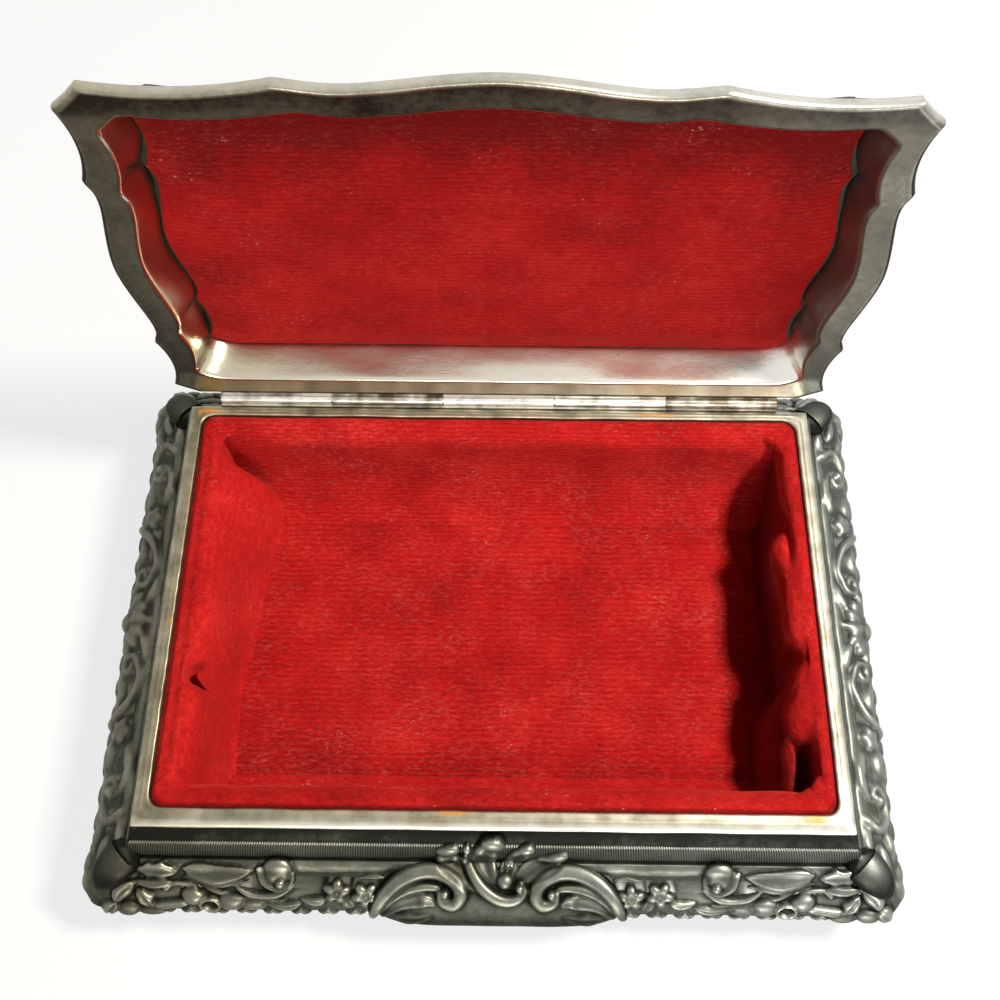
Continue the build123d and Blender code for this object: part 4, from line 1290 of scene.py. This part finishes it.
def add_node(tree, kind, inputs=None, out=None, stops=(), **settings):
    """Adds a node with its settings and colour stops, and returns it or, where one is named, its output.

    An input is a value or the output that it is linked to, and a stop is its place and its sRGB hex code.
    """
    node = tree.nodes.new("ShaderNode" + kind)
    for key, value in settings.items():
        setattr(node, key, value)
    for _ in stops[2:]:
        node.color_ramp.elements.new(0.5)
    for k, (place, code) in enumerate(stops):
        node.color_ramp.elements[k].position = place
        node.color_ramp.elements[k].color = linear(code)
    for socket, value in (inputs or {}).items():
        if isinstance(value, bpy.types.NodeSocket):
            tree.links.new(value, node.inputs[socket])
        else:
            node.inputs[socket].default_value = value
    return node if out is None else node.outputs[out]


def new_material(name):
    """An empty material, its tree and the output that gives a place in the object, in metres."""
    material = bpy.data.materials.new(name)
    material.use_nodes = True
    tree = material.node_tree
    tree.nodes.clear()
    return material, tree, add_node(tree, "TexCoord", {}, "Object")


def per_mm(size):
    """Scale of a pattern whose features are that many millimetres apart."""
    return 1 / (size * MM)


def finish(tree, **inputs):
    """The surface shader and the output, with the inputs given by their socket names."""
    names = {key.replace("_", " "): value for key, value in inputs.items()}
    shader = add_node(tree, "BsdfPrincipled", names)
    add_node(tree, "OutputMaterial", {"Surface": shader.outputs["BSDF"]})


def silvered_casting(name, bright, dull, soot_and_shade, smooth, rough):
    """Antimony alloy, cast, silvered and gone dull with age.

    The silver is left on worn high spots and sooty dark tarnish sits in the recesses; on pieces whose marks
    also carry painted shade and painted highlights, the same ramp paints those. The colour drifts over
    patches of about a centimetre, and is painted darker and browner to the left and lighter and bluer to the
    right as painted light. Casting grain of a third of a millimetre roughens what wasn't polished.
    """
    material, tree, place = new_material(name)
    # Marks read here: tarnish in recesses and wear on high spots, and on some pieces painted shade and
    # painted highlights too.
    hollow = add_node(tree, "Attribute", {}, "Fac", attribute_name="hollow")
    rubbed_and_highlight = add_node(tree, "Attribute", {}, "Fac", attribute_name="rubbed_and_highlight")
    patches = add_node(
        tree, "TexNoise", {"Vector": place, "Scale": per_mm(11), "Detail": 5.0, "Roughness": 0.6}, "Fac"
    )
    specks = add_node(
        tree, "TexNoise", {"Vector": place, "Scale": per_mm(1.4), "Detail": 4.0, "Roughness": 0.7}, "Fac"
    )
    lift = add_node(tree, "Math", {0: rubbed_and_highlight, 1: 0.6, 2: 0.05}, 0, operation="MULTIPLY_ADD")
    drift = add_node(tree, "Math", {0: patches, 1: 0.5, 2: lift}, 0, operation="MULTIPLY_ADD")
    fine = add_node(tree, "Math", {0: specks, 1: 0.3, 2: drift}, 0, operation="MULTIPLY_ADD")
    wear = add_node(
        tree, "Math", {0: hollow, 1: -0.7, 2: fine}, 0, operation="MULTIPLY_ADD", use_clamp=True
    )
    ramp = add_node(
        tree, "ValToRGB", {"Fac": wear}, "Color", stops=((0.06, soot_and_shade), (0.48, dull), (0.95, bright))
    )
    # Painted light: darker and browner towards the left end, lighter and bluer towards the right end.
    left_right_light = painted_side_light(tree, place)
    colour = add_node(tree, "Mix", {0: 1.0, 6: ramp, 7: left_right_light}, 2, data_type="RGBA", blend_type="MULTIPLY")
    sheen = add_node(
        tree, "MapRange",
        {"Value": wear, "From Min": 0.1, "From Max": 0.9, "To Min": rough, "To Max": smooth}, "Result",
    )
    grain = add_node(tree, "TexNoise", {"Vector": place, "Scale": per_mm(0.35), "Detail": 3.0}, "Fac")
    dents = add_node(tree, "Bump", {"Height": patches, "Strength": 0.25, "Distance": 0.4 * MM}, "Normal")
    bump = add_node(
        tree, "Bump", {"Height": grain, "Strength": 0.35, "Distance": 0.03 * MM, "Normal": dents}, "Normal"
    )
    finish(tree, Base_Color=colour, Metallic=1.0, Roughness=sheen, Normal=bump)
    return material


def painted_side_light(tree, place):
    """Painted light across the box: darker and browner at its left end as painted shade, lighter and
    blue-grey at its right end.
    """
    x = add_node(tree, "SeparateXYZ", {0: place}, "X")
    share = add_node(tree, "MapRange", {"Value": x, "From Min": -0.066, "From Max": 0.066}, "Result")
    stops = ((0.0, "#CCC6B3"), (0.45, "#E2E0D6"), (1.0, "#FAFDFD"))
    return add_node(tree, "ValToRGB", {"Fac": share}, "Color", stops)


def worn_rim():
    """Rim of the casting, worn down to the metal and then soiled: cream grey metal with grey smears and old
    glue.

    The bevel on the outside along the front is painted bright as a highlight, and the rim is painted
    darker to the left as shade. Amber glue has crept out beside the velvet in a few places.
    """
    material, tree, place = new_material("worn_rim")
    glue = add_node(tree, "Attribute", {}, "Fac", attribute_name="glue")
    inner = add_node(tree, "Attribute", {}, "Fac", attribute_name="inner")
    front_bevel_highlight = add_node(tree, "Attribute", {}, "Fac", attribute_name="front_bevel_highlight")
    smears = add_node(
        tree, "TexNoise", {"Vector": place, "Scale": per_mm(5.0), "Detail": 6.0, "Roughness": 0.55}, "Fac"
    )
    soiled = add_node(tree, "Math", {0: inner, 1: -0.07, 2: smears}, 0, operation="MULTIPLY_ADD")
    bare_and_highlight = add_node(
        tree, "Math", {0: front_bevel_highlight, 1: 0.4, 2: soiled}, 0, operation="MULTIPLY_ADD", use_clamp=True
    )
    ramp = add_node(
        tree, "ValToRGB", {"Fac": bare_and_highlight}, "Color",
        stops=((0.22, "#6E695C"), (0.5, "#B1AC9D"), (0.85, "#F3F2EA")),
    )
    # Painted light: the rim darker and browner towards the left end, lighter and bluer towards the right end.
    side_lit_ramp = add_node(
        tree, "Mix", {0: 1.0, 6: ramp, 7: painted_side_light(tree, place)}, 2, data_type="RGBA",
        blend_type="MULTIPLY",
    )
    ragged = add_node(tree, "Math", {0: glue, 1: smears}, 0, operation="MULTIPLY")
    amber = add_node(
        tree, "MapRange", {"Value": ragged, "From Min": 0.14, "From Max": 0.4, "To Max": 0.8}, "Result"
    )
    colour = add_node(tree, "Mix", {0: amber, 6: side_lit_ramp, 7: linear("#B98332")}, 2, data_type="RGBA")
    metal = add_node(tree, "MapRange", {"Value": amber, "To Min": 1.0, "To Max": 0.2}, "Result")
    gloss = add_node(
        tree, "MapRange", {"Value": bare_and_highlight, "From Min": 0.3, "From Max": 0.8, "To Min": 0.5, "To Max": 0.3},
        "Result",
    )
    bump = add_node(tree, "Bump", {"Height": smears, "Strength": 0.5, "Distance": 0.08 * MM}, "Normal")
    finish(tree, Base_Color=colour, Metallic=metal, Roughness=gloss, Normal=bump)
    return material


def tarnished_steel():
    """Drawn steel strip, plated and lightly tarnished: fine lines along it and brown spots.

    Each of the hinge's five sections has a tone of its own.
    """
    material, tree, place = new_material("tarnished_steel")
    drawn = add_node(
        tree, "Mapping", {"Vector": place, "Scale": (per_mm(9), per_mm(0.16), per_mm(0.16))}, "Vector"
    )
    lines = add_node(tree, "TexNoise", {"Vector": drawn, "Scale": 1.0, "Detail": 3.0}, "Fac")
    spots = add_node(tree, "TexNoise", {"Vector": place, "Scale": per_mm(3.2), "Detail": 4.0}, "Fac")
    x = add_node(tree, "SeparateXYZ", {0: place}, "X")
    section = add_node(tree, "Math", {0: x, 1: per_mm(KNUCKLE_PITCH), 2: 2.5}, 0, operation="MULTIPLY_ADD")
    whole = add_node(tree, "Math", {0: section}, 0, operation="FLOOR")
    odd = add_node(tree, "TexWhiteNoise", {"W": whole}, "Value", noise_dimensions="1D")
    tone = add_node(tree, "Math", {0: odd, 1: 0.3, 2: -0.15}, 0, operation="MULTIPLY_ADD")
    spots = add_node(tree, "Math", {0: spots, 1: tone}, 0, operation="ADD")
    ramp = add_node(tree, "ValToRGB", {"Fac": spots}, "Color", stops=((0.3, "#857B6D"), (0.6, "#E4E0D6")))
    gloss = add_node(
        tree, "MapRange",
        {"Value": lines, "From Min": 0.3, "From Max": 0.7, "To Min": 0.22, "To Max": 0.42}, "Result",
    )
    bump = add_node(tree, "Bump", {"Height": lines, "Strength": 0.3, "Distance": 0.02 * MM}, "Normal")
    finish(tree, Base_Color=ramp, Metallic=1.0, Roughness=gloss, Normal=bump)
    return material


def rolled_sheet():
    """Thin rolled sheet of the bottom, dull and stained, with faint lines from the rolls."""
    material, tree, place = new_material("rolled_sheet")
    rolled = add_node(
        tree, "Mapping", {"Vector": place, "Scale": (per_mm(30), per_mm(0.5), per_mm(0.5))}, "Vector"
    )
    lines = add_node(tree, "TexNoise", {"Vector": rolled, "Scale": 1.0, "Detail": 4.0}, "Fac")
    stains = add_node(
        tree, "TexNoise", {"Vector": place, "Scale": per_mm(16), "Detail": 6.0, "Roughness": 0.65}, "Fac"
    )
    ramp = add_node(
        tree, "ValToRGB", {"Fac": stains}, "Color", stops=((0.36, "#57534A"), (0.64, "#8C897F"))
    )
    gloss = add_node(
        tree, "MapRange",
        {"Value": stains, "From Min": 0.3, "From Max": 0.7, "To Min": 0.6, "To Max": 0.38}, "Result",
    )
    bump = add_node(tree, "Bump", {"Height": lines, "Strength": 0.25, "Distance": 0.03 * MM}, "Normal")
    finish(tree, Base_Color=ramp, Metallic=1.0, Roughness=gloss, Normal=bump)
    return material


def grey_board():
    """Grey-brown pulp board: short fibres and flecks of a millimetre or two, quite matt."""
    material, tree, place = new_material("grey_board")
    fibres = add_node(
        tree, "TexNoise", {"Vector": place, "Scale": per_mm(1.2), "Detail": 6.0, "Roughness": 0.7}, "Fac"
    )
    ramp = add_node(
        tree, "ValToRGB", {"Fac": fibres}, "Color", stops=((0.35, "#7B6A52"), (0.65, "#A08E72"))
    )
    bump = add_node(tree, "Bump", {"Height": fibres, "Strength": 0.4, "Distance": 0.05 * MM}, "Normal")
    finish(tree, Base_Color=ramp, Roughness=0.92, Normal=bump)
    return material


def cotton_velvet(name, across, rib, dust_share):
    """Cotton velvet, woven with its short pile in rows a millimetre apart, dyed deep red.

    The pile drinks light head-on and glows at a glancing angle. Its rows show as fine broken lines, it lies
    this way and that in patches, and it has caught lint. Across is the direction, in the object, from row to
    row, rib how much the rows show, and the dust's share how much its pale bloom covers.
    """
    material, tree, place = new_material(name)
    row_pitch = 1.05
    bent = add_node(tree, "TexNoise", {"Vector": place, "Scale": per_mm(6), "Detail": 2.0}, "Color")
    shifted = add_node(
        tree, "VectorMath", {0: bent, 1: (0.7 * MM,) * 3, 2: place}, 0, operation="MULTIPLY_ADD"
    )
    height = add_node(tree, "VectorMath", {0: shifted, 1: across}, "Value", operation="DOT_PRODUCT")
    phase = add_node(tree, "Math", {0: height, 1: 2 * math.pi * per_mm(row_pitch)}, 0, operation="MULTIPLY")
    rows = add_node(tree, "Math", {0: phase}, 0, operation="SINE")
    tufts_place = add_node(
        tree, "Mapping", {"Vector": place, "Scale": tuple(per_mm(1.5 - 1.05 * abs(c)) for c in across)},
        "Vector",
    )
    tufts = add_node(
        tree, "TexNoise", {"Vector": tufts_place, "Scale": 1.0, "Detail": 5.0, "Roughness": 0.75}, "Fac"
    )
    lie = add_node(
        tree, "TexNoise", {"Vector": place, "Scale": per_mm(13), "Detail": 6.0, "Roughness": 0.6}, "Fac"
    )
    broken = add_node(tree, "Math", {0: rows, 1: tufts}, 0, operation="MULTIPLY")
    level = add_node(tree, "Math", {0: broken, 1: rib, 2: -0.32}, 0, operation="MULTIPLY_ADD")
    level = add_node(tree, "Math", {0: tufts, 1: 0.9, 2: level}, 0, operation="MULTIPLY_ADD")
    level = add_node(tree, "Math", {0: lie, 1: 0.75, 2: level}, 0, operation="MULTIPLY_ADD")
    # The pieces' darkening marks, mostly painted shade and shadow, lower the pile's colour here.
    pressed_and_shade = add_node(tree, "Attribute", {}, "Fac", attribute_name="pressed_and_shade")
    level = add_node(
        tree, "Math", {0: pressed_and_shade, 1: -0.38, 2: level}, 0, operation="MULTIPLY_ADD", use_clamp=True
    )
    ramp = add_node(
        tree, "ValToRGB", {"Fac": level}, "Color",
        stops=((0.12, "#6A0708"), (0.5, "#A21011"), (0.88, "#CB2A25")),
    )
    dusty = add_node(tree, "TexNoise", {"Vector": place, "Scale": per_mm(9), "Detail": 3.0}, "Fac")
    reach = add_node(tree, "Math", {0: dusty, 1: 0.5, 2: -0.2}, 0, operation="MULTIPLY_ADD")
    specks_place = add_node(
        tree, "Mapping", {"Vector": shifted, "Scale": (per_mm(1.5), per_mm(1.1), per_mm(1.3))}, "Vector"
    )
    threads_place = add_node(
        tree, "Mapping",
        {"Vector": shifted, "Rotation": (0.3, 0.5, 0.6), "Scale": (per_mm(2.8), per_mm(0.55), per_mm(2.1))},
        "Vector",
    )
    dashes_place = add_node(
        tree, "Mapping", {"Vector": shifted, "Scale": (per_mm(1.1), per_mm(0.4), per_mm(0.5))}, "Vector"
    )
    dashes = add_node(
        tree, "TexNoise", {"Vector": dashes_place, "Scale": 1.0, "Detail": 3.0, "Roughness": 0.65}, "Fac"
    )
    dashes = add_node(tree, "Math", {0: dusty, 1: 0.3, 2: dashes}, 0, operation="MULTIPLY_ADD")
    bloom = add_node(
        tree, "MapRange", {"Value": dashes, "From Min": 0.66, "From Max": 0.96, "To Max": dust_share},
        "Result",
    )
    caught = []
    for where, most in ((specks_place, 0.7), (threads_place, 0.5)):
        cells = add_node(tree, "TexVoronoi", {"Vector": where, "Scale": 1.0, "Randomness": 1.0})
        near = add_node(tree, "Math", {0: reach, 1: cells.outputs["Distance"]}, 0, operation="SUBTRACT")
        caught.append(
            add_node(
                tree, "MapRange", {"Value": near, "From Min": 0.0, "From Max": 0.06, "To Max": most},
                "Result",
            )
        )
    dust = add_node(tree, "Math", {0: caught[0], 1: caught[1]}, 0, operation="MAXIMUM")
    dust = add_node(tree, "Math", {0: dust, 1: bloom}, 0, operation="MAXIMUM")
    colour = add_node(tree, "Mix", {0: dust, 6: ramp, 7: linear("#DE837A")}, 2, data_type="RGBA")
    pile = add_node(tree, "Math", {0: broken, 1: 1.5 * rib, 2: tufts}, 0, operation="MULTIPLY_ADD")
    bump = add_node(tree, "Bump", {"Height": pile, "Strength": 0.6, "Distance": 0.25 * MM}, "Normal")
    finish(
        tree,
        Base_Color=colour,
        Roughness=0.95,
        Specular_IOR_Level=0.15,
        Sheen_Weight=0.3,
        Sheen_Roughness=0.45,
        Sheen_Tint=linear("#FF5A48"),
        Normal=bump,
    )
    return material


def seen_white(tree):
    """One for a ray from the camera, off a gloss or through glass, which sees the white, and else nought."""
    ray = add_node(tree, "LightPath").outputs
    seen = ray["Is Camera Ray"]
    for kind in ("Is Glossy Ray", "Is Transmission Ray"):
        seen = add_node(tree, "Math", {0: seen, 1: ray[kind]}, 0, operation="ADD", use_clamp=True)
    return seen


def pale_floor():
    """Matt white card under the object. Seen by the camera or in a reflection it adds its own white."""
    material, tree, place = new_material("white_card")
    grain = add_node(tree, "TexNoise", {"Vector": place, "Scale": per_mm(40), "Detail": 3.0}, "Fac")
    tone = add_node(tree, "ValToRGB", {"Fac": grain}, "Color", stops=((0.0, "#EFEFEF"), (1.0, "#F6F6F6")))
    card = add_node(tree, "BsdfDiffuse", {"Color": tone}, 0)
    glow = add_node(tree, "Emission", {"Color": (1, 1, 1, 1), "Strength": 1.0}, 0)
    share = add_node(tree, "Math", {0: seen_white(tree), 1: 0.78}, 0, operation="MULTIPLY")
    both = add_node(tree, "MixShader", {"Fac": share, 1: card, 2: glow}, 0)
    add_node(tree, "OutputMaterial", {"Surface": both})
    return material


# Stage, lamps and camera


def set_stage():
    """White floor, white surroundings where they are seen, and a dim even light from them on the object."""
    far = 1500.0 * MM
    mesh = bpy.data.meshes.new("floor")
    mesh.from_pydata([(-far, -far, 0), (far, -far, 0), (far, far, 0), (-far, far, 0)], [], [(0, 1, 2, 3)])
    floor = bpy.data.objects.new("floor", mesh)
    bpy.context.scene.collection.objects.link(floor)
    mesh.materials.append(pale_floor())
    world = bpy.data.worlds.new("surroundings")
    bpy.context.scene.world = world
    world.use_nodes = True
    tree = world.node_tree
    tree.nodes.clear()
    fill = add_node(tree, "Background", {"Color": linear("#E9EEF5"), "Strength": 0.05}, 0)
    white = add_node(tree, "Background", {"Color": (1, 1, 1, 1), "Strength": 1.0}, 0)
    both = add_node(tree, "MixShader", {"Fac": seen_white(tree), 1: fill, 2: white}, 0)
    add_node(tree, "OutputWorld", {"Surface": both})


def set_up(name, data, axes, position):
    """Puts a lamp or a camera at a position in millimetres, with its own axes along three directions."""
    thing = bpy.data.objects.new(name, data)
    matrix = np.eye(4)
    matrix[:3, :3] = np.transpose(axes)
    matrix[:3, 3] = np.array(position) * MM
    thing.matrix_world = Matrix(matrix.tolist())
    bpy.context.scene.collection.objects.link(thing)
    return thing


def lamp(name, azimuth, elevation, distance, size, power, colour, target=(0, 0, 20)):
    """A square lamp, at an azimuth from +X towards +Y and an elevation, aimed at a target."""
    a, e = math.radians(azimuth), math.radians(elevation)
    towards = np.array([math.cos(a) * math.cos(e), math.sin(a) * math.cos(e), math.sin(e)])
    place = np.array(target) + distance * towards
    light = bpy.data.lights.new(name, "AREA")
    light.size = size * MM
    light.energy = power
    light.color = linear(colour)[:3]
    z = place - np.array(target, float)
    z /= np.linalg.norm(z)
    x = np.cross((0, 0, 1), z)
    x /= np.linalg.norm(x)
    set_up(name, light, (x, np.cross(z, x), z), place)


def set_camera():
    """Camera where the photograph was taken from: its axes follow from its angles."""
    pitch, yaw, roll = (math.radians(a) for a in (CAMERA_PITCH, CAMERA_YAW, CAMERA_ROLL))
    forward = np.array([math.sin(yaw) * math.cos(pitch), math.cos(yaw) * math.cos(pitch), -math.sin(pitch)])
    right = np.array([math.cos(yaw), -math.sin(yaw), 0])
    down = np.cross(forward, right)
    x = math.cos(roll) * right + math.sin(roll) * down
    y = math.sin(roll) * right - math.cos(roll) * down
    data = bpy.data.cameras.new("camera")
    data.sensor_width = 36.0
    data.lens = CAMERA_LENS
    data.shift_y = CAMERA_SHIFT
    data.clip_start = 0.01
    bpy.context.scene.camera = set_up("camera", data, (x, y, -forward), CAMERA_PLACE)


# Putting it together

casting = silvered_casting("silvered_casting", "#A6A9A2", "#585B55", "#21221F", 0.36, 0.6)
polished = silvered_casting("polished_lid_casting", "#EFEBE3", "#7F7B70", "#2A251F", 0.23, 0.52)
rim = worn_rim()
steel = tarnished_steel()
sheet = rolled_sheet()
board = grey_board()

fit_out(body_shell(), "body", casting, "cast_pewter", "body_casting")
fit_out(rim_ledge(), "body", rim, "cast_pewter", "body_casting")
for side in SIDES:
    step = {"front": 0.17, "rear": 0.26}.get(side, 0.22)
    fit_out(relief_strip(side, step), "body", casting, "cast_pewter", "body_casting")
    fit_out(reeding(side), "body", casting, "cast_pewter", "body_casting")
for side in ("front", "rear"):
    fit_out(cartouche(side), "body", casting, "cast_pewter", "body_casting")
for name, sx, sy in CORNERS:
    fit_out(corner_shield(name, sx, sy), "body", casting, "cast_pewter", "body_casting")
    fit_out(foot_shape(name, sx, sy), "body", casting, "cast_pewter", "foot_" + name)

fit_out(lid_shell(), "lid", polished, "cast_pewter", "lid_casting")
fit_out(lid_relief(), "lid", casting, "cast_pewter", "lid_casting")
fit_out(lid_board(), "lid", board, "liner_card", "lid_card")

velvet_flat = cotton_velvet("cotton_velvet_floor", (0, 1, 1), 0.13, 0.22)
velvet_upright = cotton_velvet("cotton_velvet_walls", (0, 0, 1), 0.02, 0.1)
velvet_panel = cotton_velvet("cotton_velvet_lid", (0, 0, 1), 0.1, 0.12)
for pad, body, velvet, node, slack, most in (
    (velvet_floor(), "body", velvet_flat, "velvet_floor", floor_slack, 0.5),
    (velvet_front(), "body", velvet_upright, "velvet_front", partial(wall_slack, "front"), 0.4),
    (velvet_rear(), "body", velvet_flat, "velvet_rear", partial(wall_slack, "rear"), 0.4),
    (velvet_left(), "body", velvet_upright, "velvet_left", partial(wall_slack, "left"), 0.5),
    (velvet_right(), "body", velvet_upright, "velvet_right", partial(wall_slack, "right"), 0.5),
    (velvet_lid(), "lid", velvet_panel, "velvet_lid", lid_slack, 0.4),
):
    puff(pad, most, slack)
    fit_out(pad, body, velvet, "red_velvet", node)

for node, material in (
    ("hinge_leaf_body", steel), ("hinge_leaf_lid", steel), ("hinge_pin", steel), ("base_plate", sheet),
    ("floor_card", board), ("card_front", board), ("card_rear", board),
    ("card_left", board), ("card_right", board),
):
    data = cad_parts[node].data
    data.materials.clear()
    data.materials.append(material)

set_stage()
lamp("key", 3, 56.3, 620, 90, 5.9, "#FFF6EA")
lamp("front", -86, 9, 700, 240, 2.9, "#FFFAF2", (0, 30, 50))
set_camera()
bpy.context.scene.view_settings.view_transform = "Standard"
